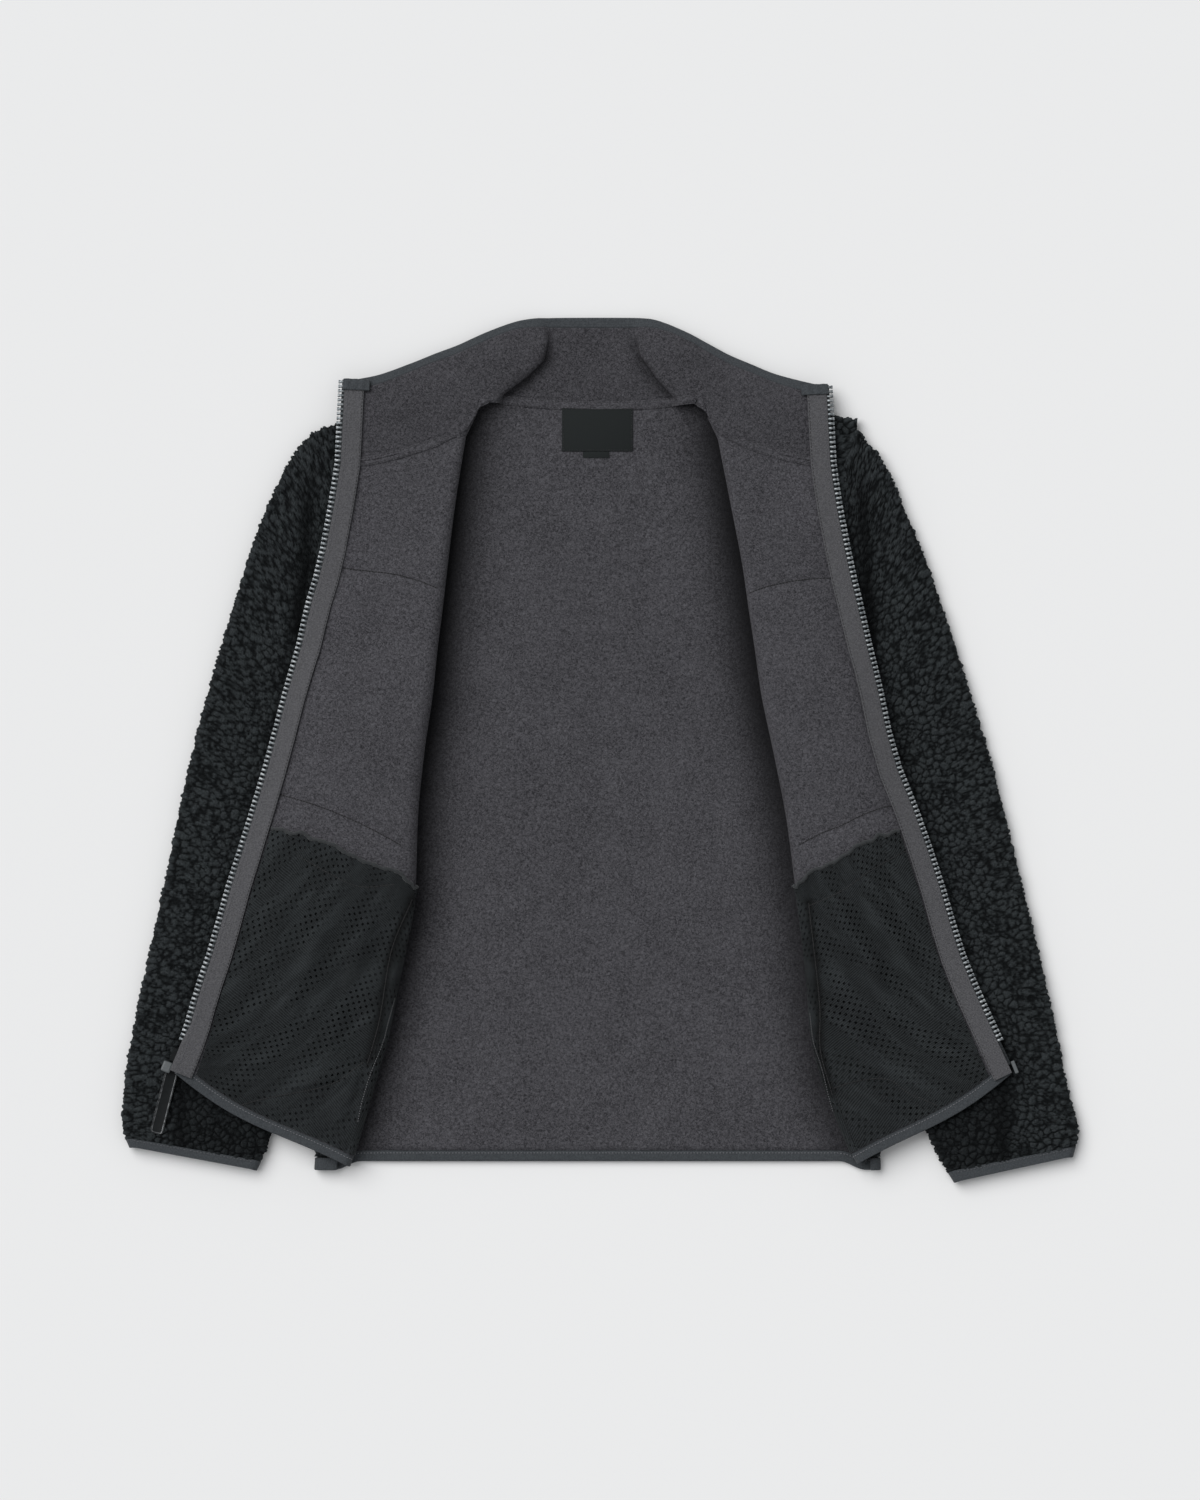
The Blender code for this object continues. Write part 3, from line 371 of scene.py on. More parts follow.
def pocket_reach(side, k):
    """Share of the flap's width from the fold to the facing."""
    reach = front_point(side, k, 3) - front_point(side, k, 2)
    along = front_point(side, k + 0.1, 3) - front_point(side, k - 0.1, 3)
    slant = reach.normalized().cross(along.normalized()).length
    return 1 - (FACING_IN + 3 * SEAM_GAP) / slant / reach.length


ZipStation = namedtuple("ZipStation", "point inward normal")


def zip_stations(side, last):
    """Places down one zip edge: collar first, then the front down to row last."""
    stations = []
    for v in spread(1, 0, 8)[:-1]:
        point = collar_point(side, 0, v)
        stations.append((point, collar_point(side, 1, v) - point))
    for k in [k for k in FRONT_STEPS + FRONT_BAND if k < last] + [last]:
        point = front_point(side, k, 3)
        stations.append((point, front_point(side, k, front_columns()[-2]) - point))
    made = []
    for i, (point, inward) in enumerate(stations):
        ahead = stations[min(i + 1, len(stations) - 1)][0]
        behind = stations[max(i - 1, 0)][0]
        along = (ahead - behind).normalized()
        inward = (inward - along * inward.dot(along)).normalized()
        normal = inward.cross(along).normalized()
        if normal.z < 0:
            normal.negate()
        made.append(ZipStation(point, inward, normal))
    return made


def top_edge(x):
    """Upper limit of the back on the floor at x: neck seam, or the shoulder's turn."""
    out = abs(x)
    if out <= NECK_HALF:
        return NECK_DIP + NECK_RISE * (out / NECK_HALF) ** 2
    f = min((out - NECK_HALF) / (SHOULDER_OUT - NECK_HALF), 1)
    return SHOULDER_TOP + (SHOULDER_END - SHOULDER_TOP) * f - CLOTH / 2 - TURN


def dipped(point):
    """The hem hangs lower where the sides turn over."""
    near_hem = ease((DIP_FROM - point.y) / (DIP_FROM - BACK_HEM))
    point.y -= HEM_DIP * near_hem * ease((abs(point.x) - DIP_OUT) / DIP_RUN)
    return point


def turn_path(side, y):
    """Points over the turned side at height y: from the floor over the edge to the seam."""
    edge = side_out(side, y)
    seam = seam_out(side, dipped(Vector((seam_out(side, y), y, HIGH))).y)
    centre = edge - CLOTH / 2 - TURN
    points = [Vector((SIGN[side] * (centre + TURN * math.sin(a)), y, HIGH - TURN - TURN * math.cos(a)))
              for a in spread(0, math.pi, 5)]
    for f in spread(0, 1, 3)[1:]:
        points.append(Vector((SIGN[side] * (centre + (seam - centre) * f), y, HIGH)))
    return [dipped(point) for point in points]


def seam_out(side, y):
    """Side seam on top, just outside the front's first points."""
    points = [front_point(side, k, 0) for k in FRONT_STEPS + FRONT_BAND]
    y = max(y, points[-1].y - 4 * SEAM_GAP)
    for upper, lower in zip(points, points[1:]):
        if upper.y >= y >= lower.y:
            f = (upper.y - y) / (upper.y - lower.y)
            return abs(upper.lerp(lower, f).x) + 2 * SEAM_GAP
    upper, lower = points[-2:] if y < points[-1].y else points[:2]
    f = (upper.y - y) / (upper.y - lower.y)
    return abs(upper.lerp(lower, f).x) + 2 * SEAM_GAP


def ledge(side, out, y):
    """How high a sleeve must lie here to clear the side of the body."""
    clear = 3 * SEAM_GAP
    one_layer = CLOTH + clear
    two_layers = 2 * CLOTH + AIR + clear
    height = one_layer * ease((ON_FLOOR_ABOVE - y) / ON_FLOOR_RUN)
    height += (two_layers - one_layer) * ease((ON_TURN_BELOW - y) / ON_TURN_RUN)
    return height * ease((side_out(side, y) + LEDGE_FULL + LEDGE_RUN - out) / LEDGE_RUN)


def overlap_share(side, row):
    """1 where the sleeve's inner edge lies on the body, 0 where it lies beside it."""
    inside = side_out(side, row.inner_y) - row.inner_out
    return ease((inside + OVERLAP_FROM) / OVERLAP_RUN)


def sleeve_ring(side, k):
    """Closed ring of points on the middle of the sleeve's cloth."""
    row = read(SLEEVE_ROWS[side], k)
    outer = Vector((row.outer_out, row.outer_y))
    inner = Vector((row.inner_out, row.inner_y))
    across = (inner - outer).normalized()
    width = (inner - outer).length
    inset = CLOTH / 2 + TURN
    flat = [inset + (width - 2 * inset) * f ** 0.8 for f in spread(0, 1, 9)]
    ring = [(d, LOW) for d in flat]
    ring += [(width - inset + TURN * math.sin(a), HIGH - TURN - TURN * math.cos(a))
             for a in spread(0, math.pi, 4)[1:-1]]
    ring += [(d, HIGH) for d in reversed(flat)]
    ring += [(inset - TURN * math.sin(a), HIGH - TURN + TURN * math.cos(a))
             for a in spread(0, math.pi, 4)[1:-1]]
    points = []
    for d, z in ring:
        place = outer + across * d
        base = outer + across * min(max(d, inset), width - inset)
        lift = ledge(side, base.x, base.y) * overlap_share(side, row)
        points.append(Vector((SIGN[side] * place.x, place.y, z + lift)))
    return points


def roll_place(side, place):
    """How far a place is over the crease towards the back half, and the way there."""
    nearest, way = 1.0, Vector((0, 0))
    for a, b in zip(CREASES[side], CREASES[side][1:]):
        start, end = Vector(a), Vector(b)
        along = end - start
        f = min(max((place - start).dot(along) / along.length_squared, 0), 1)
        apart = place - start - along * f
        if apart.length < abs(nearest):
            raised = along.x * apart.y - along.y * apart.x < 0
            nearest = -apart.length if raised else apart.length
            way = apart.normalized() * (-1 if raised else 1)
    return nearest, way


def crease_share(side, place):
    """1 on the turned front half of the collar, 0 on its back half, by way of the roll."""
    return ease(1 - roll_place(side, place)[0] / CREASE_RUN)


def collar_point(side, k, v):
    """Point of the collar: k counts sections from the zip, v is 0 at the seam, 1 on top."""
    row = read(COLLAR_ROWS[side], k)
    seam = Vector((row.seam_out, row.seam_y))
    seam_z = row.seam_z
    if k < FRONT_SECTIONS:
        on_front = front_point(side, 0, 3 - k / FRONT_SECTIONS)
        seam = Vector((abs(on_front.x), on_front.y + 2 * SEAM_GAP))
        seam_z = on_front.z
    place = seam.lerp(Vector((row.top_out, row.top_y)), v)
    z = curve_through((seam_z, row.half_z, row.top_z), v)
    z = LOW + (z - LOW) * crease_share(side, place)
    return Vector((SIGN[side] * place.x, place.y, z))


# ---- shader maths
class Value:
    """A shader socket that takes part in Python arithmetic."""

    def __init__(self, shader, socket):
        self.shader = shader
        self.socket = socket

    def math(self, operation, other=None, swap=False):
        pair = (other, self) if swap else (self, other)
        sockets = {i: v for i, v in enumerate(pair) if v is not None}
        return self.shader.node("ShaderNodeMath", {"operation": operation}, sockets)

    def __add__(self, other):
        return self.math("ADD", other)

    def __sub__(self, other):
        return self.math("SUBTRACT", other)

    def __rsub__(self, other):
        return self.math("SUBTRACT", other, swap=True)

    def __mul__(self, other):
        return self.math("MULTIPLY", other)

    def sine(self):
        return self.math("SINE")

    def between(self, low=0.0, high=1.0):
        """0 at low, 1 at high, smooth and clamped."""
        settings = {"interpolation_type": "SMOOTHSTEP"}
        return self.shader.node("ShaderNodeMapRange", settings,
                                {"Value": self, "From Min": low, "From Max": high})


class Shader:
    """A Principled material built from expressions."""

    def __init__(self, name, **fixed):
        self.material = bpy.data.materials.new(name)
        self.material.use_nodes = True
        self.nodes = self.material.node_tree.nodes
        self.links = self.material.node_tree.links
        self.principled = self.nodes["Principled BSDF"]
        for key, value in fixed.items():
            self.principled.inputs[key.replace("_", " ")].default_value = value

    def node(self, kind, settings=None, sockets=None, out=0):
        """One node: settings first, then values or links of its sockets."""
        made = self.nodes.new(kind)
        for key, value in (settings or {}).items():
            setattr(made, key, value)
        for key, value in (sockets or {}).items():
            self.feed(made.inputs[key], value)
        shown = [s for s in made.outputs if s.enabled]
        return Value(self, made.outputs[out] if isinstance(out, str) else shown[out])

    def feed(self, socket, value):
        if isinstance(value, Value):
            self.links.new(value.socket, socket)
        else:
            socket.default_value = value

    def place(self, scale=(1, 1, 1), turn=0.0, kind="Object"):
        """Object or UV coordinates in metres, turned and scaled."""
        coordinates = self.node("ShaderNodeTexCoord", out=kind)
        return self.node("ShaderNodeMapping", {}, {"Vector": coordinates, "Scale": scale,
                                                   "Rotation": (0, 0, turn)})

    def noise(self, size, detail=3.0, rough=0.55, place=None, warp=0.0):
        """Noise from 0 to 1 with features of that size in metres."""
        return self.node("ShaderNodeTexNoise", {}, {
            "Vector": place or self.place(), "Scale": 1 / size, "Detail": detail,
            "Roughness": rough, "Distortion": warp})

    def cells(self, size, feature, place):
        """Distance to the nearest of scattered points, in units of size."""
        return self.node("ShaderNodeTexVoronoi", {"feature": feature}, {
            "Vector": place, "Scale": 1 / size}, out="Distance")

    def warped(self, place, size, amount):
        """The same coordinates, wandering by up to that amount over that size."""
        wander = self.node("ShaderNodeTexNoise", {}, {"Vector": place, "Scale": 1 / size, "Detail": 2.0},
                           out="Color")
        return self.node("ShaderNodeVectorMath", {"operation": "MULTIPLY_ADD"},
                         {0: wander, 1: (2 * amount,) * 3, 2: place})

    def mark(self, name):
        """A value painted on the piece's points."""
        return self.node("ShaderNodeAttribute", {"attribute_name": name}, out="Fac")

    def split(self, place):
        """The first two coordinates."""
        parts = self.nodes.new("ShaderNodeSeparateXYZ")
        self.feed(parts.inputs[0], place)
        return Value(self, parts.outputs[0]), Value(self, parts.outputs[1])

    def mix(self, factor, a, b):
        """Colour a where factor is 0, b where it is 1."""
        made = self.nodes.new("ShaderNodeMix")
        made.data_type = "RGBA"
        self.feed(made.inputs["Factor"], factor)
        for key, value in ((6, a), (7, b)):
            self.feed(made.inputs[key], value if isinstance(value, Value) else (*value, 1))
        return Value(self, made.outputs[2])

    def finish(self, colour, roughness, height=None, depth=None, alpha=None):
        """The material, with a bump of that depth in metres where it has a height."""
        inputs = self.principled.inputs
        self.feed(inputs["Base Color"], colour if isinstance(colour, Value) else (*colour, 1))
        self.feed(inputs["Roughness"], roughness)
        if alpha is not None:
            self.feed(inputs["Alpha"], alpha)
        if height is not None:
            bump = self.node("ShaderNodeBump", {}, {"Height": height, "Distance": depth})
            self.feed(inputs["Normal"], bump)
        return self.material


# ---- materials
def fleece_lining():
    """Smooth brushed fleece: a short curly nap, with painted shade beside a fold."""
    s = Shader("fleece_lining", Sheen_Weight=0.06, Sheen_Roughness=0.5, Specular_IOR_Level=0.08)
    s.principled.inputs["Sheen Tint"].default_value = (.85, .82, .88, 1)
    place = s.warped(s.place(), .004, .0012)
    nap = s.noise(.0019, 2, .6, place, 1.0)
    fine = s.noise(.0010, 2, .6)
    patch = s.noise(.045, 3, .6)
    tone = nap.between(.33, .67) * .62 + fine.between(.35, .65) * .28 + patch.between(.3, .7) * .10
    colour = s.mix(tone, (.020, .0196, .0222), (.108, .106, .117))
    # painted shade from the shade mark: darker beside the fronts' folds and the collar's roll
    colour = s.mix(s.mark("shade"), colour, (.0055, .0055, .0062))
    return s.finish(colour, .95, nap + fine * .5, .0014)


def sherpa_pile(name="sherpa_pile", modelled=True):
    """Curly pile: painted shade between the lumps, painted highlight on top of them, set by the pile's
    height.
    """
    s = Shader(name, Sheen_Weight=0.04, Sheen_Roughness=0.5, Specular_IOR_Level=0.05)
    s.principled.inputs["Sheen Tint"].default_value = (.85, .93, .95, 1)
    place = s.warped(s.place(kind="UV"), .004, .0012)
    curls = s.cells(.0024, "F1", place)
    strands = s.noise(.0011, 3, .7, place, 1.4)
    lump = (1 - curls * 1.1).between(.05, .75)
    height = s.mark("pile").between(.10, .78) if modelled else (
        s.cells(.0059, "DISTANCE_TO_EDGE", place).between(.0, .28))
    # tone follows height: painted shade low between the lumps, painted highlight on their tops and in the
    # middle of each curl
    tone = height * .58 + lump * height * .22 + (strands.between(.3, .7) - .5) * .42 * (height + .25)
    colour = s.mix(tone, (.0042, .0049, .0053), (.0440, .0505, .0535))
    # painted shade from the shade mark, beside the zip and in the armhole's valley
    colour = s.mix(s.mark("shade"), colour, (.0022, .0025, .0028))
    return s.finish(colour, .97, lump * .5 + strands * .7 + (0 if modelled else height * 1.6), .0012)


def stretch_binding():
    """Smooth knitted edging with a fine rib across it."""
    s = Shader("stretch_binding", Sheen_Weight=0.05, Specular_IOR_Level=0.15)
    rib = s.node("ShaderNodeTexWave", {"bands_direction": "X", "wave_profile": "SIN"},
                 {"Vector": s.place(kind="UV"), "Scale": 1 / .0055, "Distortion": .6, "Detail": 1.0})
    grain = s.noise(.0012, 3, .6)
    colour = s.mix(grain.between(.3, .7) * .85 + rib * .15, (.031, .035, .039), (.060, .066, .072))
    return s.finish(colour, .85, rib * .2 + grain * .6, .0004)


def twill_facing():
    """Twill strip with a steep diagonal line."""
    s = Shader("twill_facing", Sheen_Weight=0.05, Specular_IOR_Level=0.15)
    twill = s.node("ShaderNodeTexWave", {"bands_direction": "X", "wave_profile": "SIN"},
                   {"Vector": s.place(kind="UV", turn=.9), "Scale": 1 / .0034, "Distortion": 1.2,
                    "Detail": 2.0, "Detail Scale": 2.0})
    grain = s.noise(.0013, 3, .65)
    tone = twill * .35 + grain.between(.28, .72) * .65
    colour = s.mix(tone, (.048, .048, .052), (.135, .134, .142))
    return s.finish(colour, .88, twill * .6 + grain * .6, .0006)


def woven_tape():
    s = Shader("woven_tape", Specular_IOR_Level=0.15)
    weave = s.noise(.0010, 2, .6)
    colour = s.mix(weave.between(.3, .7), (.009, .011, .012), (.034, .037, .040))
    return s.finish(colour, .9, weave, .0004)


HOLE_STEP = .0076  # between every other hole, across their rows
HOLE_TURN = .34  # how far the rows of holes lean
RIB_TURN = -1.05  # the ribs
BAND_TURN = .61  # and the bands of open mesh


def mesh_holes(s, turn):
    """1 in the round holes of a knitted mesh, 0 on its threads."""
    across, along = s.split(s.place(kind="UV", turn=turn))
    step = 2 * math.pi / HOLE_STEP
    wave = (across * step).math("COSINE") * (along * step).math("COSINE")
    return wave.between(.50, .72)


def pocket_mesh():
    """Knitted mesh: rows of small round holes, in bands between others pulled into fine ribs."""
    s = Shader("pocket_mesh", Sheen_Weight=0.03, Specular_IOR_Level=0.12)
    hole = mesh_holes(s, HOLE_TURN)
    across, along = s.split(s.place(kind="UV", turn=BAND_TURN))
    band = s.node("ShaderNodeCombineXYZ", {}, {"X": across, "Y": along * .22, "Z": across * 0})
    open_zone = s.noise(.019, 1, .4, band).between(.42, .56)
    rib_way, _ = s.split(s.place(kind="UV", turn=RIB_TURN))
    wobble = s.noise(.007, 2, .5) * 4.0
    rib = (rib_way * (2 * math.pi / .0020) + wobble).sine() * .5 + .5
    grain = s.noise(.0011, 2, .6).between(.3, .7)
    thread = rib * (1 - open_zone * .75) * .75 + open_zone * .30
    # painted sheen: lighter patches in the mesh's colour
    painted_sheen = s.noise(.014, 3, .6, band).between(.40, .70)
    tone = thread * .60 + grain * .25 + painted_sheen * .32
    colour = s.mix(tone, (.0019, .0023, .0026), (.0340, .0390, .0415))
    # painted shade from the shade mark, along the seam beside the bag's side edge
    colour = s.mix(s.mark("shade"), colour, (.0010, .0011, .0012))
    gap = hole * (open_zone * .88 + .06)
    return s.finish(colour, .75, (1 - gap) + rib * .5, .0009, alpha=1 - gap * .95)


def mesh_behind():
    """The bag's second layer, seen through the first one's holes; its own holes are painted near black, as
    painted shade over the lining under them.
    """
    s = Shader("mesh_behind", Specular_IOR_Level=0.1)
    hole = mesh_holes(s, HOLE_TURN + .13)
    colour = s.mix(hole, (.0085, .0095, .0100), (.0012, .0014, .0015))
    return s.finish(colour, .9, 1 - hole, .0005)


def zip_metal():
    s = Shader("zip_teeth", Metallic=.75, Specular_IOR_Level=.6)
    wear = s.noise(.0025, 2, .5)
    colour = s.mix(wear.between(.3, .7), (.11, .125, .135), (.36, .38, .39))
    return s.finish(colour, wear * .3 + .3)


def dark_enamel():
    s = Shader("dark_enamel", Specular_IOR_Level=.10)
    wear = s.noise(.003, 3, .6)
    colour = s.mix(wear, (.0050, .0058, .0062), (.011, .0125, .0135))
    return s.finish(colour, wear * .2 + .35, wear, .0001)


def painted_edge_highlight():
    """Painted highlight along the pull's rounded edges: a paler, part metal finish that stands for light
    catching them.
    """
    s = Shader("painted_edge_highlight", Specular_IOR_Level=.5, Metallic=.4)
    wear = s.noise(.004, 3, .6)
    # the noise varies how bright the painted highlight is
    colour = s.mix(wear.between(.35, .65), (.035, .038, .040), (.16, .165, .17))
    return s.finish(colour, wear * .2 + .25, wear, .0001)


def moulded_grey():
    s = Shader("moulded_grey", Specular_IOR_Level=.5)
    wear = s.noise(.002, 3, .6)
    colour = s.mix(wear, (.055, .062, .066), (.11, .12, .125))
    return s.finish(colour, wear * .2 + .4, wear, .0001)


def woven_label():
    """Dense satin weave, left bare."""
    s = Shader("woven_label", Specular_IOR_Level=.14, Sheen_Weight=.03)
    warp = s.node("ShaderNodeTexWave", {"bands_direction": "X"},
                  {"Vector": s.place(), "Scale": 1 / .0016, "Distortion": .4})
    weft = s.node("ShaderNodeTexWave", {"bands_direction": "Y"},
                  {"Vector": s.place(), "Scale": 1 / .0020, "Distortion": .4})
    tone = warp * .5 + weft * .5
    return s.finish(s.mix(tone, (.008, .0095, .010), (.022, .026, .026)), .75, tone, .0002)


def thread(name, colour):
    s = Shader(name, Sheen_Weight=.2, Specular_IOR_Level=.3)
    twist = s.noise(.0007, 2, .5)
    return s.finish(s.mix(twist, tuple(c * .7 for c in colour), colour), .7, twist, .0002)


LINING = fleece_lining()
PILE = sherpa_pile()
PILE_BENEATH = sherpa_pile("sherpa_beneath", modelled=False)
EDGING = stretch_binding()
TWILL = twill_facing()
WOVEN = woven_tape()
MESH_TOP = pocket_mesh()
MESH_UNDER = mesh_behind()
TEETH = zip_metal()
ENAMEL = dark_enamel()
EDGE_HIGHLIGHT = painted_edge_highlight()
MOULDED = moulded_grey()
LABEL = woven_label()
MESH_ROLL = thread("mesh_edge", (.022, .025, .027))
DARK_THREAD = thread("dark_thread", (.018, .018, .020))
BLACK_THREAD = thread("black_thread", (.006, .006, .007))
GREY_THREAD = thread("grey_thread", (.10, .10, .11))
EDGE_THREAD = thread("edge_thread", (.17, .17, .18))
PALE_THREAD = thread("pale_thread", (.19, .19, .205))

Stitch = namedtuple("Stitch", "length step radius thread slot")
STITCHES = {
    "back_hem": Stitch(.0021, .0030, .00038, PALE_THREAD, "binding"),
    "front_hem": Stitch(.0022, .0030, .00040, PALE_THREAD, "binding"),
    "cuff": Stitch(.0022, .0031, .00036, GREY_THREAD, "binding"),
    # lining seams: black thread laid end to end as one cord, the seam's thread and also painted shade for
    # its groove
    "lining": Stitch(.0034, .0029, .00060, BLACK_THREAD, "sherpa"),
    "welt": Stitch(.0022, .0030, .00030, DARK_THREAD, "sherpa"),
    "bag": Stitch(.0030, .0028, .00055, BLACK_THREAD, "mesh"),
    "bag_edge": Stitch(.0013, .0023, .00042, EDGE_THREAD, "mesh"),
    "seam": Stitch(.0028, .0033, .00040, DARK_THREAD, "facing"),
    "zip": Stitch(.0028, .0033, .00040, GREY_THREAD, "facing"),
    "label": Stitch(.0018, .0024, .00026, DARK_THREAD, "label"),
}


# ---- mesh helpers
BODY = "jacket"
UP = Vector((0, 0, 1))


def stand_for(piece, slot, *nodes, body=BODY):
    """The piece rides on its body and takes the place of these solids."""
    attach(piece, body)
    if nodes:
        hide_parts(*nodes)
    return piece


def link(bm, name, materials):
    mesh = bpy.data.meshes.new(name)
    bm.to_mesh(mesh)
    bm.free()
    mesh.shade_smooth()
    for one in materials:
        mesh.materials.append(one)
    made = bpy.data.objects.new(name, mesh)
    bpy.context.scene.collection.objects.link(made)
    return made


def lifted(path, height):
    """The same path, that much higher."""
    return [Vector(point) + UP * height for point in path]


def run_lengths(points, axis):
    """Distance run along a grid of points, averaged over the other way."""
    steps = np.linalg.norm(np.diff(points, axis=axis), axis=2)
    return np.concatenate(([0.0], np.cumsum(steps.mean(axis=1 - axis))))


def grid_mesh(points, marks):
    """A grid laid through points, with a UV map in metres and values on its points."""
    rows, columns = points.shape[:2]
    bm = bmesh.new()
    bmesh.ops.create_grid(bm, x_segments=columns - 1, y_segments=rows - 1, size=1)
    mesh = bpy.data.meshes.new("grid")
    bm.to_mesh(mesh)
    bm.free()
    place = np.empty(3 * len(mesh.vertices), np.float32)
    mesh.vertices.foreach_get("co", place)
    place = (place.reshape(-1, 3) + 1) / 2
    i = np.rint(place[:, 1] * (rows - 1)).astype(int)
    j = np.rint(place[:, 0] * (columns - 1)).astype(int)
    mesh.vertices.foreach_set("co", points[i, j].astype(np.float32).ravel())
    for name in ("pile", "shade"):
        values = marks.get(name, np.full((rows, columns), 0.6 if name == "pile" else 0.0))
        layer = mesh.attributes.new(name, "FLOAT", "POINT")
        layer.data.foreach_set("value", values[i, j].astype(np.float32))
    corners = np.empty(len(mesh.loops), np.int32)
    mesh.loops.foreach_get("vertex_index", corners)
    uv = np.stack((run_lengths(points, 1)[j], run_lengths(points, 0)[i]), axis=1)[corners]
    mesh.uv_layers.new(name="UVMap").data.foreach_set("uv", uv.astype(np.float32).ravel())
    return mesh


def cloth(name, grids, materials, up_at=None):
    """One surface welded from grids of points, facing up at a place if one is given."""
    bm = bmesh.new()
    for grid in grids:
        points, marks = grid if isinstance(grid, tuple) else (grid, {})
        mesh = grid_mesh(points, marks)
        bm.from_mesh(mesh)
        bpy.data.meshes.remove(mesh)
    bmesh.ops.remove_doubles(bm, verts=bm.verts, dist=.00003)
    bmesh.ops.recalc_face_normals(bm, faces=bm.faces)
    if up_at is not None:
        at = Vector(up_at)
        nearest = min(bm.faces, key=lambda face: (face.calc_center_median() - at).length_squared)
        if nearest.normal.z < 0:
            bmesh.ops.reverse_faces(bm, faces=bm.faces)
    return link(bm, name, materials)


BACKING = 0.0034  # the cloth without its pile
LINING_KEPT = CLOTH / BACKING - 1  # offset that leaves the lining where it lies


def soften(made, width, segments, angle=None):
    """Rounds the edges that are sharper than that angle, in degrees."""
    bevel = made.modifiers.new("edge", "BEVEL")
    bevel.width = width
    bevel.segments = segments
    if angle:
        bevel.limit_method = "ANGLE"
        bevel.angle_limit = math.radians(angle)
    return bevel


def thicken(made, thickness, rim=0, round_edge=None, offset=0.0):
    """Cloth thickness about the middle; the lower side takes the second material."""
    wall = made.modifiers.new("wall", "SOLIDIFY")
    wall.thickness = thickness
    wall.offset = offset
    wall.use_even_offset = False
    wall.material_offset = 1 if len(made.data.materials) > 1 else 0
    wall.material_offset_rim = rim
    if round_edge:
        soften(made, round_edge, 3, 50)


def panel(name, grids, up_at, node, thickness=BACKING, offset=LINING_KEPT):
    """Bonded cloth, its lining up and its pile beneath."""
    made = cloth(name, grids, [LINING, PILE_BENEATH], up_at)
    thicken(made, thickness, rim=1, offset=offset)
    return stand_for(made, "sherpa", node)


def band(name, grid, thickness, round_edge, material, slot, *nodes, up_at=None):
    """A narrow band of cloth with round sides."""
    made = cloth(name, [grid], [material], up_at)
    thicken(made, thickness, round_edge=round_edge)
    stand_for(made, slot, *nodes)


def normals_of(points, closed=False):
    """Unit normals of a grid of points."""
    if closed:
        ring = np.concatenate((points[:, -2:-1], points, points[:, 1:2]), axis=1)
        across = ring[:, 2:] - ring[:, :-2]
    else:
        across = np.gradient(points, axis=1)
    along = np.gradient(points, axis=0)
    n = np.cross(across, along)
    return n / np.maximum(np.linalg.norm(n, axis=2, keepdims=True), 1e-9)


# ---- creases
Crease = namedtuple("Crease", "x y to_x to_y width depth")


def creased(points, creases, share=1.0):
    """Moves points up or down along soft troughs and ridges, in plan."""
    for c in creases:
        start = np.array((c.x, c.y))
        run = np.array((c.to_x, c.to_y)) - start
        f = np.clip(((points[..., :2] - start) @ run) / (run @ run), 0, 1)
        apart = np.linalg.norm(points[..., :2] - start - f[..., None] * run, axis=2)
        taper = np.sin(np.pi * np.clip(f * .9 + .05, 0, 1)) ** .6
        points[..., 2] += share * c.depth * taper * np.exp(-(apart / c.width) ** 2)
    return points


PILE_SEEDS = {"sleeve": {"right": 11, "left": 23}, "side": {"right": 31, "left": 43},
              "front": {"right": 53, "left": 59}}
SHOULDER_SEED = 37
PILE_WANDER = 0.0007  # how far the lumps are pushed out of round
PILE_STEEP = 2.6  # how steep their sides are
CURL = 0.58  # size of the curls between them, as a share of a lump
CURL_SHIFT = 0.0021
LUMP = 0.0064  # size of one lump of the pile
PILE_RISE = 0.0033  # from the bottom of the creases to the tops of the lumps
PILE_SINK = 0.0020  # the creases lie this far under the cloth's outer face


def cell_distances(points, size, seed):
    """Nearest and second distance to spots scattered one to a cube of that size."""
    scatter = np.random.RandomState(seed).rand(64, 64, 64, 3).astype(np.float32)
    place = (points / size).astype(np.float32)
    cube = np.floor(place).astype(int)
    first = np.full(place.shape[:2], 9.0, np.float32)
    second = first.copy()
    for step in np.ndindex(3, 3, 3):
        near = cube + step - 1
        a, b, c = np.moveaxis(near % 64, -1, 0)
        apart = np.sqrt(((near + scatter[a, b, c] - place) ** 2).sum(axis=-1))
        second = np.minimum(second, np.maximum(first, apart))
        first = np.minimum(first, apart)
    return first, second


def pile_height(points, seed):
    """Height of the curly pile, 0 to 1, over a grid of points."""
    x, y = points[..., 0], points[..., 1]
    wander = np.stack((np.sin(y / .0031 + 2 * np.sin(x / .0071)),
                       np.sin(x / .0029 + 2 * np.sin(y / .0083)),
                       np.sin(x / .0047 - y / .0053)), axis=-1)
    place = points + PILE_WANDER * wander
    near, next_one = cell_distances(place, LUMP, seed)
    edge = np.clip((next_one - near) * PILE_STEEP, 0, 1) ** .7
    dome = np.clip(1.05 - .75 * near ** 2, 0, 1)
    curl, next_curl = cell_distances(place + CURL_SHIFT, LUMP * CURL, seed + 3)
    knot = np.clip((next_curl - curl) * PILE_STEEP, 0, 1) ** .8
    share = .28 + .34 * (.5 + .5 * np.sin(x / .0101 + 2.1 * np.sin(y / .0133 + seed)))
    return np.clip(edge * (.25 + .75 * dome) * (1 - share) + knot * (.35 + .65 * edge) * share, 0, 1)


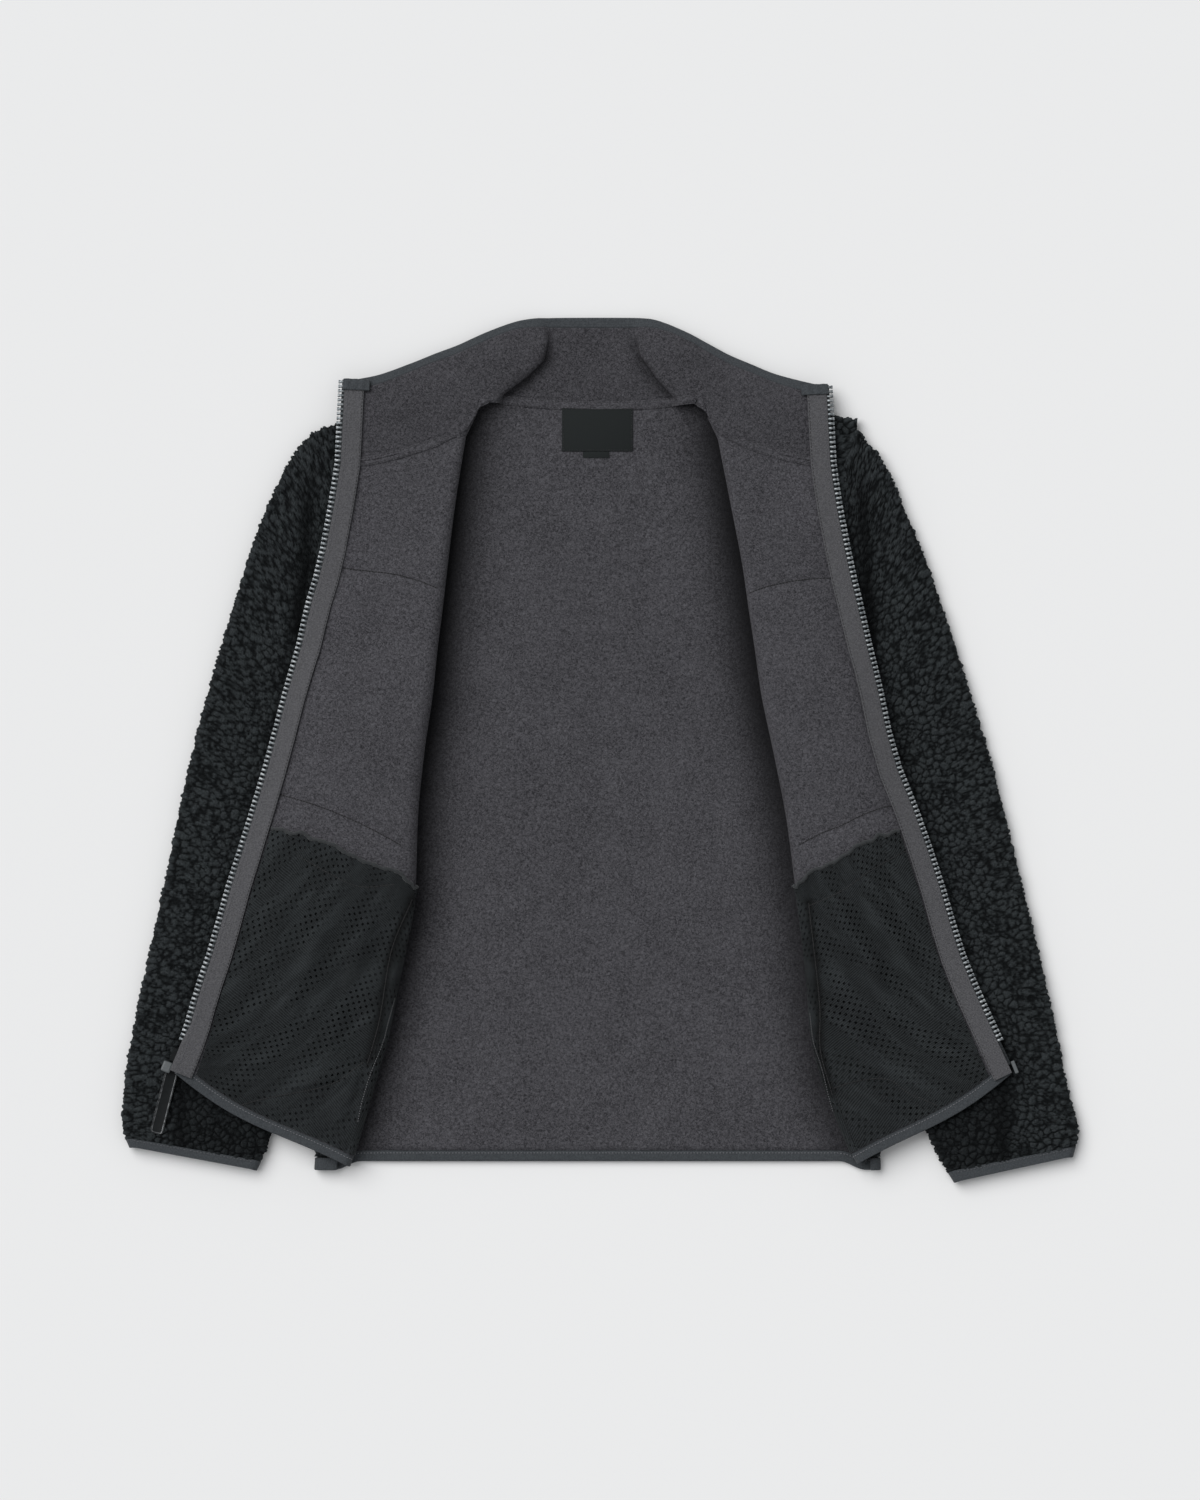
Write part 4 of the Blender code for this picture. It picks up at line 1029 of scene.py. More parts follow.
def smooth_between(points, places, closed=False):
    """A grid read at fractional places along its second axis, on a smooth curve."""
    count = points.shape[1]
    places = np.asarray(places, float)
    if closed:
        i = np.floor(places).astype(int)
        a, b, c, d = (points[:, (i + o) % count] for o in (-1, 0, 1, 2))
    else:
        i = np.minimum(np.floor(places).astype(int), count - 2)
        a, b, c, d = (points[:, np.clip(i + o, 0, count - 1)] for o in (-1, 0, 1, 2))
        a = np.where((i == 0)[None, :, None], 2 * b - c, a)
        d = np.where((i == count - 2)[None, :, None], 2 * c - b, d)
    f = (places - i)[None, :, None]
    return b + .5 * f * (c - a + f * (2 * a - 5 * b + 4 * c - d + f * (3 * (b - c) + d - a)))


def smooth_down(points, rows):
    """A grid carried on a smooth curve to that many steps along its first axis."""
    places = spread(0, points.shape[0] - 1, rows)
    return smooth_between(points.transpose(1, 0, 2), places).transpose(1, 0, 2)


def refined(points, rows, columns):
    """The same surface with that many steps down and across."""
    return smooth_down(smooth_between(points, spread(0, points.shape[1] - 1, columns)), rows)


def piled(middle, outward, seed):
    """Outer surface of the pile over the middle of the cloth, and its height."""
    height = pile_height(middle, seed)
    rise = CLOTH / 2 - PILE_SINK + PILE_RISE * height
    return middle + outward * rise[..., None], height


# ---- back
BACK_CREASES = table(Crease,
    (-.2090, -.3300, -.1930, -.3640, .0060, -.0018),
    (-.1990, -.3350, -.1830, -.3620, .0070, .0012),
    (.0690, -.2870, .0270, -.3680, .0070, -.0016),
    (.0800, -.2850, .0380, -.3680, .0090, .0012),
    (-.0010, .2000, .0010, -.3550, .0050, -.0006),
    (-.1250, .1000, -.1180, -.1600, .0200, .0014),
    (.1250, .0700, .1380, -.1700, .0220, .0014),
    (-.0750, .2000, -.0500, .0600, .0250, .0010),
    (.0600, -.0200, .0900, -.2200, .0260, .0010),
)
SHADE_REACH = 0.0300  # how far the painted shade beside a fold reaches
BACK_STEPS = 110  # across the back


def back_row(y, columns, inset):
    right = side_out("right", y) - inset
    left = side_out("left", y) - inset
    return [dipped(Vector((f * (right if f < 0 else left), y, LOW))) for f in columns]


def fold_shade(points):
    """Painted shade: 1 under the folds of the fronts, falling to 0 away from them on the open back."""
    shade = np.zeros(points.shape[:2])
    for side in SIDES:
        fold = [front_point(side, k, 1.5) for k in spread(0, FRONT_HEM + 1, 80)]
        ys = np.array([p.y for p in reversed(fold)])
        outs = np.array([abs(p.x) for p in reversed(fold)])
        away = np.interp(points[..., 1], ys, outs) - SIGN[side] * points[..., 0]
        shade = np.maximum(shade, np.exp(-(np.maximum(away, 0) / SHADE_REACH) ** 2.0))
    # the painted shade is weaker low on the back and a little weaker at the top
    return np.clip(shade, 0, 1) * np.interp(points[..., 1], (-.25, .02, .20, .30), (.62, .92, .97, .90))


def make_back():
    columns = spread(-1, 1, BACK_STEPS)
    inset = CLOTH / 2 + TURN
    hem = BACK_HEM + BINDING + SEAM_GAP
    shoulders = [Vector((f * SHOULDER_OUT, top_edge(f * SHOULDER_OUT), LOW)) for f in columns]
    upper = spread(BACK_TOP, TURNED_TOP + .012, 36)
    turned = spread(TURNED_TOP, hem, 76)
    neck = [[a.lerp(b, f) for a, b in zip(shoulders, back_row(upper[0], columns, 0))]
            for f in spread(0, 1, 10)[:-1]]
    rows = neck + [back_row(y, columns, 0) for y in upper] + [back_row(y, columns, inset) for y in turned]
    flat = creased(np.array(rows), BACK_CREASES)
    grids = [(flat, {"shade": fold_shade(flat)})]
    for side in SIDES:
        path = np.array([turn_path(side, y) for y in turned])
        path[:, 0] = flat[-len(turned):, 0 if side == "right" else -1]
        grids.append(path)
        at_side = [j for j, p in enumerate(shoulders) if SIGN[side] * p.x >= NECK_HALF + .008]
        shoulder = shoulder_grid(side, flat[0, at_side])
        grids.append(shoulder)
        past = shoulder[-1:] - (0, .0035, .0005)
        pile_over("shoulder_pile_" + side, np.concatenate((shoulder, past)), 50, 120, SHOULDER_SEED,
                  row=-4, column=60)
        make_side_pile(side)
    return panel("back_panel", grids, (0, 0, LOW), "back")


def pile_over(name, middle, rows, columns, seed, row, column):
    """Curls over a surface, on the side that faces up at one of its points."""
    middle = refined(middle, rows, columns)
    outward = normals_of(middle)
    if outward[row % rows, column % columns, 2] < 0:
        outward = -outward
    outer, height = piled(middle, outward, seed)
    made = cloth(name, [(outer, {"pile": height})], [PILE], outer[row, column])
    return stand_for(made, "sherpa")


def make_side_pile(side):
    """Curls over the back where it has turned over at a side."""
    rows = np.array([turn_path(side, y) for y in spread(TURNED_TOP, BACK_HEM + BINDING + .0012, 100)])
    pile_over("side_pile_" + side, rows[:, 1:], 320, 52, PILE_SEEDS["side"][side], row=160, column=-2)


def shoulder_grid(side, edge):
    """The shoulder's turn from the floor over the edge to the seam on top."""
    rows = [edge + np.array((0, TURN * math.sin(a), TURN * (1 - math.cos(a))))
            for a in spread(0, math.pi, 8)]
    start, end = front_point(side, 0, 0), front_point(side, 0, 1)
    seam = rows[-1].copy()
    seam[:, 1] = start.y + (end.y - start.y) * (seam[:, 0] - start.x) / (end.x - start.x) + SHOULDER_GAP
    rows += [rows[8] + (seam - rows[8]) * f for f in spread(0, 1, 4)[1:]]
    return np.array(rows)


ON_HEM = BINDING_CLOTH / 2 + .0007  # where the hem's stitches lie over the middle of the cloth


def make_back_binding():
    columns = spread(-1, 1, BACK_STEPS)
    inset = CLOTH / 2 + TURN
    rows = []
    for f in spread(0, 1, 4):
        y = BACK_HEM + (BINDING + .0006) * (1 - f)
        right = list(reversed(turn_path("right", y)))
        rows.append(right[:-1] + back_row(y, columns, inset) + turn_path("left", y)[1:])
    edging("back_hem_edging", np.array(rows), "hem_binding_back")
    y = BACK_HEM + BINDING * .80
    make_stitches("back_hem_stitches", lifted(back_row(y, spread(-1, 1, 60), inset), ON_HEM), "back_hem")


def edging(name, points, node):
    """Binding folded round an edge: thick, with round sides."""
    band(name, points, BINDING_CLOTH + .0008, .0018, EDGING, "binding", node)


# ---- fronts
FOLD_TOP = (.0095, .0200)  # how far in and up the fold runs on under the collar
FRONT_CREASES = {
    "right": table(Crease,
        (-.2400, .2100, -.2150, .0300, .0180, .0014),
        (-.2000, .1500, -.2300, .0000, .0160, -.0010),
        (-.2650, .0300, -.2300, -.0650, .0150, .0012),
        (-.2350, .1500, -.1850, .1420, .0016, -.0007),
        (-.1900, .1425, -.1500, .1300, .0016, -.0007),
    ),
    "left": table(Crease,
        (.1900, .2100, .2000, .0400, .0180, .0014),
        (.1700, .1500, .2150, -.0100, .0160, -.0010),
        (.2400, .0100, .2600, -.0700, .0150, .0012),
    ),
}


def front_grid(side, ks, places):
    return np.array([[front_point(side, k, c) for c in places] for k in ks])


def fold_top(side, edge, places):
    """Rows that carry the rolled fold of a front on up under the collar."""
    over = np.array([ease((c - .9) / .5) * (1 - ease((c - 2.1) / .45)) for c in places])[:, None]
    way = np.array((-SIGN[side] * FOLD_TOP[0], FOLD_TOP[1], -.0030))
    return np.array([edge + way * over * f for f in (1, .75, .5, .25)])


def make_front(side):
    places = spread(0, 1, 5)[:-1] + spread(1, 2, 12)[:-1] + spread(2, 3, 40)
    points = front_grid(side, spread(0, FRONT_HEM - .02, 72), places)
    points = smooth_down(points, 150)
    share = np.array([ease((c - 1.7) / .4) for c in places])[None, :]
    creased(points, FRONT_CREASES[side] + seam_grooves(side), share)
    points = np.concatenate((fold_top(side, points[0], places), points))
    made = panel("front_panel_" + side, [points], front_point(side, 5, 2.5), "front_" + side)
    under = front_grid(side, spread(0, 6, 40), spread(0, 1.1, 14))
    pile_over("front_pile_" + side, under, 170, 56, PILE_SEEDS["front"][side], row=60, column=6)
    hem = front_grid(side, spread(FRONT_HEM - .03, FRONT_HEM + 1, 4), places)
    edging("front_hem_edging_" + side, hem, "hem_binding_" + side)
    row = FRONT_HEM + .16
    path = [front_point(side, row, c) + front_normal(side, row, c) * ON_HEM for c in spread(1.6, 2.98, 60)]
    make_stitches("front_hem_stitches_" + side, path, "front_hem")
    surface = tree_of(made)
    for i, line in enumerate(LINING_SEAMS[side]):
        lay_stitches("lining_seam_%s_%d" % (side, i), surface, line, "lining")
    return made


# Seams across the linings of the fronts, on plan, in millimetres.
LINING_SEAMS = {
    "right": (((-239, 167), (-212, 164), (-188, 161), (-166, 155), (-148, 148)),
              ((-297, -40), (-268, -48), (-238, -59), (-208, -73), (-181, -88))),
    "left": (((137, 144), (154, 150), (185, 156), (213, 158)),
             ((182, -87), (203, -76), (221, -69), (239, -60), (258, -53), (271, -51))),
}


def seam_grooves(side):
    """Soft grooves in which the seams of a front lie."""
    grooves = []
    for line in LINING_SEAMS[side]:
        for (x, y), (to_x, to_y) in zip(line, line[1:]):
            grooves.append(Crease(x / 1000, y / 1000, to_x / 1000, to_y / 1000, .0030, -.0022))
    return tuple(grooves)


def tree_of(*pieces):
    """Finds the top of finished pieces."""
    depsgraph = bpy.context.evaluated_depsgraph_get()
    return [BVHTree.FromObject(piece, depsgraph) for piece in pieces]


def top_at(surface, x, y):
    """Highest point of the pieces at a place on plan."""
    hits = [tree.ray_cast(Vector((x, y, .2)), Vector((0, 0, -1)))[0] for tree in surface]
    hits = [hit for hit in hits if hit]
    return max(hits, key=lambda hit: hit.z) if hits else None


def smooth_line(line, count):
    """Points along a smooth curve through places given in millimetres."""
    places = smooth_between(np.array([line], float) / 1000, np.linspace(0, len(line) - 1, count + 1))[0]
    return [(float(x), float(y)) for x, y in places]


def lay_stitches(name, surface, line, kind, lift=.0001):
    """Stitches along a line in millimetres on top of finished pieces."""
    path = [top_at(surface, x, y) for x, y in smooth_line(line, 60)]
    make_stitches(name, lifted([point for point in path if point], lift), kind)


# ---- pockets
# Folds of the bags and the seams round them, on plan.
POCKET_FOLDS = {
    "right": table(Crease,
        (-.2350, -.1150, -.2950, -.2650, .0090, .0022),
        (-.2080, -.1500, -.2500, -.2800, .0080, .0018),
        (-.2650, -.1200, -.3050, -.2200, .0070, -.0010),
        (-.2150, -.2950, -.2900, -.3100, .0060, .0020),
        (-.2600, -.3000, -.3300, -.3180, .0050, -.0014),
        (-.2250, -.3080, -.2450, -.3400, .0080, .0020),
        (-.1730, -.1400, -.1950, -.2100, .0030, -.0020),
        (-.1950, -.2100, -.2130, -.2870, .0030, -.0022),
        (-.2130, -.2870, -.2280, -.3350, .0040, -.0016),
        (-.2180, -.2870, -.2480, -.3070, .0026, -.0015),
        (-.2480, -.3070, -.3310, -.3260, .0024, -.0014),
        (-.2700, -.1020, -.2200, -.1250, .0020, -.0010),
        (-.2200, -.1250, -.1880, -.1230, .0020, -.0010),
    ),
    "left": table(Crease,
        (.2250, -.1500, .2700, -.2500, .0100, .0022),
        (.2500, -.1250, .2950, -.2300, .0080, .0016),
        (.2100, -.1800, .2500, -.2900, .0090, .0018),
        (.2900, -.2100, .3300, -.3000, .0080, .0014),
        (.2400, -.3150, .2900, -.3330, .0080, .0018),
        (.1930, -.1450, .2010, -.2300, .0030, -.0022),
        (.2010, -.2300, .2130, -.3160, .0030, -.0022),
        (.2140, -.3100, .2640, -.3010, .0026, -.0015),
        (.2640, -.3010, .3090, -.3260, .0024, -.0015),
        (.1900, -.1430, .2500, -.1100, .0020, -.0010),
        (.2500, -.1100, .2810, -.0930, .0020, -.0010),
    ),
}
POCKET_SEAMS = {
    "right": (((-276, -97), (-248, -113), (-220, -125), (-188, -123)),
              ((-331, -326), (-304, -319), (-248, -307), (-218, -287)),
              ((-172, -137), (-191, -184), (-202, -247), (-213, -287))),
    "left": (((191, -143), (221, -129), (250, -109), (281, -92)),
             ((214, -310), (238, -303), (264, -302), (282, -314), (309, -326)),
             ((191, -140), (201, -230), (202, -275), (213, -316))),
}


def bag_seam_shade(side, points):
    """Painted shade along the seam beside the bag's side edge, 0 to 1."""
    seam = smooth_line(POCKET_SEAMS[side][2], 24)
    apart = np.min([np.hypot(points[..., 0] - x, points[..., 1] - y) for x, y in seam_points(seam)], axis=0)
    return .85 * np.exp(-(apart / .0045) ** 2)


def seam_points(line):
    """Every point between the ends of a line's pieces, close together."""
    return [(ax + (bx - ax) * f, ay + (by - ay) * f)
            for (ax, ay), (bx, by) in zip(line, line[1:]) for f in (0, .5)]


BAG_EDGES = {
    "right": ((-187.8, -227), (-193.6, -248), (-199.3, -269), (-210.7, -298), (-218.3, -323),
              (-222.2, -342)),
    "left": ((192.3, -241), (195.5, -267), (203.3, -292), (210.6, -321), (217.1, -343)),
}
POCKET_PUCKERS = 0.0010
BAG_LIFT = CLOTH / 2 + .0004  # the second layer over the middle of the front's cloth
BAG_LAYERS = 0.0012  # from there to the first layer
MOUTH_WAVE = 0.020  # the mouth's edge wanders by this share of a row


def pocket_grid(side, lift, rows, columns):
    """Points of a mesh layer, that far off the lining."""
    fold_row, zip_row = POCKET_ROWS[side]
    ks = spread(7, FRONT_HEM, 12)
    reaches = [pocket_reach(side, k) for k in ks]
    reach_at_end = pocket_reach(side, 10)
    grid = []
    for f in spread(0, 1, 34):
        line = []
        for across in spread(POCKET_FROM, 2, 6)[:-1] + spread(2, 2 + reach_at_end, 22):
            mouth = fold_row + (zip_row - fold_row) * ease((across - POCKET_FROM) / 1.3)
            k = mouth + (FRONT_HEM - .05 - mouth) * f
            k += MOUTH_WAVE * (1 - f) ** 6 * (math.sin(across * 23 + 2 * math.sin(across * 7))
                                              + .5 * math.sin(across * 51))
            if across > 2:
                across = 2 + float(np.interp(k, ks, reaches)) * (across - 2) / reach_at_end
            line.append(front_point(side, k, across))
        grid.append(line)
    base = refined(np.array(grid), rows, columns)
    up = normals_of(base)
    up = up if up[rows // 2, -4, 2] > 0 else -up
    f = np.linspace(0, 1, rows + 1)[:, None]
    c = np.linspace(0, 1, columns + 1)[None, :]
    pucker = np.sin(c * 24 + 3 * f) * np.sin(f * 11 + c * 5) + 1
    reach = lift + POCKET_PUCKERS * pucker * np.sin(np.pi * np.minimum(f * 1.3, 1)) ** .7
    return base + up * (reach + .0012 * np.exp(-(f / .02) ** 2))[..., None]


def make_pocket(side):
    behind = pocket_grid(side, BAG_LIFT, 70, 50)
    lowest = behind[..., 2] - .0002
    creased(behind, POCKET_FOLDS[side], .4)
    behind[..., 2] = np.maximum(behind[..., 2], lowest)
    back_layer = cloth("pocket_back_layer_" + side, [behind], [MESH_UNDER], front_point(side, 9, 2.5))
    stand_for(back_layer, "mesh")
    front = pocket_grid(side, BAG_LIFT + BAG_LAYERS, 140, 100)
    lowest = front[..., 2] - .0008
    creased(front, POCKET_FOLDS[side], 1.5)
    front[..., 2] = np.maximum(front[..., 2], lowest)
    made = cloth("pocket_front_layer_" + side, [(front, {"shade": bag_seam_shade(side, front)})], [MESH_TOP],
                 front_point(side, 9, 2.5))
    stand_for(made, "mesh", "pocket_bag_" + side)
    surface = tree_of(made)
    for i, line in enumerate(POCKET_SEAMS[side]):
        lay_stitches("pocket_seam_%s_%d" % (side, i), surface, line, "bag")
    beside = tree_of(made, bpy.data.objects["front_panel_" + side])
    lay_stitches("bag_edge_" + side, beside, BAG_EDGES[side], "bag_edge", .0002)
    make_roll("pocket_mouth_" + side, lifted(front[0], .0003), .0011, MESH_ROLL, "mesh")


def make_roll(name, path, radius, material, slot):
    """A thin round edge along a path."""
    rings = []
    for i, point in enumerate(path):
        along = (path[min(i + 1, len(path) - 1)] - path[max(i - 1, 0)]).normalized()
        across = along.cross(UP).normalized()
        up = across.cross(along)
        wobble = radius * (1 + .22 * math.sin(i * 2.1) + .15 * math.sin(i * 5.3))
        rings.append([point + (across * math.cos(a) * 1.4 + up * math.sin(a)) * wobble
                      for a in spread(0, 2 * math.pi, 8)])
    return stand_for(cloth(name, [np.array(rings)], [material]), slot)


# ---- sleeves
SLEEVE_CREASES = {
    "right": table(Crease,
        (-.2750, .2450, -.2450, .1000, .0140, -.0016),
        (-.3100, .1500, -.2800, .0600, .0150, .0016),
        (-.3400, .0200, -.3100, -.0700, .0160, -.0014),
        (-.3700, -.1300, -.4000, -.2300, .0180, .0014),
        (-.4150, -.2700, -.3800, -.3300, .0140, -.0014),
    ),
    "left": table(Crease,
        (.2600, .2400, .2550, .1000, .0140, -.0016),
        (.3000, .1200, .2800, .0200, .0150, .0016),
        (.3350, .0000, .3150, -.0900, .0160, -.0014),
        (.3700, -.1200, .3900, -.2400, .0180, .0014),
        (.4050, -.2700, .3800, -.3400, .0140, -.0014),
    ),
}
RING_BOTTOM = 15  # steps round a sleeve, on its lower layer
RING_TOP = 108  # and on its upper one
ARMHOLE_ROW = -0.50  # the sleeve's pile runs on under the front's
HEAD_RISE = 0.0012  # there it rises a little
HEAD_DIVE = 0.0045  # and then goes down under the front
LINING_IN = 0.0022  # the sleeve's inner face, from the middle of its cloth
SLEEVE_RINGS = 405  # in each half of a sleeve
TOP_FROM = 13  # index of the ring's point where its upper layer starts
TOP_TO = 22


def sleeve_grid(side, first, last, rings):
    """Middle of the sleeve's cloth as a closed grid, fine on its upper layer."""
    coarse = np.array([sleeve_ring(side, k) for k in spread(first, last, 60)])
    places = (spread(0, 9, RING_BOTTOM)[:-1] + spread(9, TOP_FROM, 10)[:-1]
              + spread(TOP_FROM, TOP_TO, RING_TOP)[:-1] + spread(TOP_TO, 26, 10))
    fine = smooth_down(smooth_between(coarse, places, closed=True), rings)
    top = np.array([ease((p - 11) / 3) * ease((25 - p) / 3) for p in places])[None, :]
    return creased(fine, SLEEVE_CREASES[side], top)


VALLEY_SHADE = ((.26, .20, .15, .12, .09, -.30), (.030, .024, .016, .013, .004, .0))  # where the painted shade of the armhole's valley lies: heights up, and how far out from the zip


def sleeve_shade(side, points):
    """Painted shade beside the zip and in the valley of the armhole, 0 to 1."""
    zip_edge = np.array([front_point(side, k, 3) for k in spread(0, FRONT_HEM, 60)])[::-1]
    out = SIGN[side] * points[..., 0] - np.interp(points[..., 1], zip_edge[:, 1], abs(zip_edge[:, 0]))
    heights, ways = (np.array(row)[::-1] for row in VALLEY_SHADE)
    valley = np.interp(points[..., 1], heights, ways)
    strength = np.interp(points[..., 1], (-.30, .05, .12, .22, .27), (.30, .45, .85, .80, 0))
    shade = strength * np.exp(-((out - valley) / .0075) ** 2)
    return np.clip(shade + .55 * np.exp(-(np.maximum(out, 0) / .009) ** 1.2), 0, .9)


# Outline of the shoulders from the zip out, on plan: how far out, and how far up.
SHOULDER_LINE = {
    "right": ((.2000, .2342, .2484, .2567, .2688, .2784, .2880, .3008, .3121, .3400),
              (.3100, .3076, .3049, .2999, .2861, .2740, .2600, .2380, .2140, .2100)),
    "left": ((.2000, .2079, .2150, .2236, .2290, .2374, .2447, .2530, .2613, .2714, .2788, .2900, .3200),
             (.3105, .3091, .3050, .2985, .2985, .2926, .2810, .2750, .2606, .2414, .2265, .2200, .2000)),
}


def make_sleeve(side):
    middle = sleeve_grid(side, ARMHOLE_ROW, CUFF_ROW, 2 * SLEEVE_RINGS)
    beyond = np.clip(np.linspace(ARMHOLE_ROW, CUFF_ROW, 2 * SLEEVE_RINGS + 1) / ARMHOLE_ROW, 0, 1)
    middle[..., 2] += (HEAD_RISE * np.sin(np.pi * beyond) - HEAD_DIVE * beyond ** 3)[:, None]
    before = int(2 * SLEEVE_RINGS * -ARMHOLE_ROW / (CUFF_ROW - ARMHOLE_ROW)) + 80
    line = np.interp(SIGN[side] * middle[:before, :, 0], *SHOULDER_LINE[side]) - CLOTH / 2
    middle[:before, :, 1] = np.minimum(middle[:before, :, 1], line)
    outward = normals_of(middle, closed=True)
    centre = middle[:, :-1].mean(axis=1, keepdims=True)
    if ((middle - centre) * outward).sum() < 0:
        outward = -outward
    outer, height = piled(middle, outward, PILE_SEEDS["sleeve"][side])
    height[:, -1] = height[:, 0]
    outer[:, -1] = outer[:, 0]
    outer[..., 2] = np.maximum(outer[..., 2], .0002)
    shade = sleeve_shade(side, outer)
    halves = {"upper": slice(0, SLEEVE_RINGS + 1), "lower": slice(SLEEVE_RINGS, None)}
    for name, rows in halves.items():
        marks = {"pile": height[rows], "shade": shade[rows]}
        made = cloth("sleeve_%s_pile_%s" % (name, side), [(outer[rows], marks)], [PILE])
        stand_for(made, "sherpa", *(["sleeve_" + side] if name == "upper" else []))
    inner = (middle - outward * LINING_IN)[36::12, ::4]
    inner[:, -1] = inner[:, 0]
    lining = cloth("sleeve_lining_" + side, [inner], [LINING])
    lining.data.flip_normals()
    stand_for(lining, "sherpa")
    cuff = sleeve_grid(side, CUFF_ROW - .03, 16, 5)
    cuff[:, -1] = cuff[:, 0]
    edging("cuff_edging_" + side, cuff, "cuff_binding_" + side)
    on_cuff = sleeve_grid(side, CUFF_ROW, CUFF_ROW + .1, 2)[1:2]
    row = smooth_between(on_cuff, spread(26, 24 + RING_TOP, 120))[0]
    make_stitches("cuff_stitches_" + side, lifted(row, BINDING_CLOTH / 2 + .0006), "cuff")


# ---- collar
COLLAR_CREASES = table(Crease,
    (-.0500, .3500, .0500, .3520, .0200, .0010),
    (-.2000, .3000, -.1500, .3400, .0140, .0012),
    (.1750, .2950, .1400, .3350, .0120, .0012),
    (.1020, .3610, .1480, .3110, .0070, -.0020),
)
COLLAR_SHADE = 0.17  # the least painted shade on the collar, over all of it
ROLL = 0.0150  # plan width of the roll where the collar turns over
ROLL_OVER = 0.0046  # how far it bulges out over the back half


def collar_cloth(side, k, v):
    """Point of the collar with its roll, and the painted shade beside the roll."""
    point = collar_point(side, k, v)
    row = read(COLLAR_ROWS[side], k)
    height = curve_through((row.seam_z, row.half_z, row.top_z), v)
    if k < FRONT_SECTIONS:
        height += (front_point(side, 0, 3 - k / FRONT_SECTIONS).z - row.seam_z) * (1 - v)
    over, way = roll_place(side, Vector((abs(point.x), point.y)))
    t = min(max(over / ROLL, 0), 1)
    bulge = ROLL_OVER * (height - LOW) / .016 * math.sin(2 * math.pi * t)
    point.x += SIGN[side] * way.x * bulge
    point.y += way.y * bulge
    point.z = LOW + (height - LOW) * ease(1 - t)
    # painted shade on the back half of the collar beside the roll
    depth = math.exp(-(max(over - .6 * ROLL, 0) / .011) ** 1.3) if over > .35 * ROLL else 0.0
    return point, depth * min((height - LOW) / .012, 1) * .8


def collar_ks():
    half = spread(0, 5, 40)[:-1] + spread(5, 9, 70)[:-1] + spread(9, 12, 34)
    return [("right", k) for k in half] + [("left", k) for k in reversed(half[:-1])]


def make_collar():
    rows, depth, edge = [], [], []
    for side, k in collar_ks():
        height = (collar_point(side, k, 1) - collar_point(side, k, 0)).length
        share = BINDING / height
        line = [collar_cloth(side, k, v) for v in spread(0, 1 - share, 40)]
        rows.append([point for point, _ in line])
        depth.append([shade for _, shade in line])
        edge.append([collar_cloth(side, k, v)[0] for v in spread(1 - share - .0006 / height, 1, 4)])
    points = creased(np.array(rows), COLLAR_CREASES)
    # painted shade: beside the roll, and at least COLLAR_SHADE over the whole collar
    marks = {"shade": np.maximum(np.array(depth), COLLAR_SHADE)}
    made = panel("collar_panel", [(points, marks)], (0, .36, .01), "collar", CLOTH, offset=0)
    edging("collar_edging", np.array(edge), "collar_binding")
    return made


SEAM_BAND = 0.0080  # width of the welts over the neck seam
SEAM_STEPS = 8  # across a welt
SEAM_TAPER = 9  # steps along it over which its ends get narrow
SEAM_LEVEL = 0.0012  # how far it follows dips and bumps under it


def make_neck_seam(surface):
    """Flat welts over the seam of the collar: one on each front, one on the back."""
    lines = {"right": [("right", k) for k in spread(.35, 4.9, 40)],
             "left": [("left", k) for k in spread(.35, 4.9, 40)],
             "back": ([("right", k) for k in spread(7.6, 12, 40)]
                      + [("left", k) for k in reversed(spread(7.6, 12, 40)[:-1])])}
    for name, places in lines.items():
        seam = [collar_point(side, k, 0) for side, k in places]
        rows = []
        for i, point in enumerate(seam):
            along = (seam[min(i + 1, len(seam) - 1)] - seam[max(i - 1, 0)]).normalized()
            across = Vector((-along.y, along.x)).normalized()
            row = []
            to_end = min(i if name == "back" else 99, len(seam) - 1 - i)
            wide = SEAM_BAND * (.12 + .88 * ease(to_end / SEAM_TAPER))
            for d in spread(-wide / 2, wide / 2, SEAM_STEPS):
                hit = top_at(surface, point.x + across.x * d, point.y + across.y * d)
                z = hit.z if hit else point.z + CLOTH / 2
                row.append((point.x + across.x * d, point.y + across.y * d, z))
            heights = [z for _, _, z in row]
            level = sorted(heights)[len(heights) // 2]
            row = [(x, y, min(max(z, level - SEAM_LEVEL), level + SEAM_LEVEL) + .0005
                    + .0005 * (1 - (2 * j / SEAM_STEPS - 1) ** 2)) for j, (x, y, z) in enumerate(row)]
            rows.append(row)
        band("neck_welt_" + name, np.array(rows), .0010, .0003, LINING, "sherpa",
             up_at=rows[len(rows) // 2][4])
        for edge in (1, 7):
            make_stitches("neck_welt_%s_stitches_%d" % (name, edge),
                          lifted([row[edge] for row in rows], .0006), "welt")


def make_zip_tab(side):
    """The edging folded over the end of the zip at the collar."""
    top = zip_stations(side, FACING_END)
    lift = TAPE_LIFT + TAPE / 2 + SEAM_GAP + FACING + .0012
    rows = []
    for f in spread(-.04, 1.05, 9):
        point = top[0].point.lerp(top[1].point, f)
        line = []
        for d in spread(-.0030, .0215, 16):
            bump = .0005 * math.sin(d * 900 + 2 * f) - .0012 * ease((d - .0170) / .004)
            line.append(point + top[0].inward * d + top[0].normal * (lift + bump))
        rows.append(line)
    band("collar_tab_" + side, np.array(rows), .0022, .0007, EDGING, "binding", up_at=rows[4][8])


# ---- zip
TOOTH_STEP = 0.0043
TOOTH_SIZE = (.0050, .0022, .0026)  # across, along, thick
TOOTH_HEAD = (.0018, .0030, .0020)
TAPE_LIFT = CLOTH / 2 + 2 * SEAM_GAP + TAPE / 2


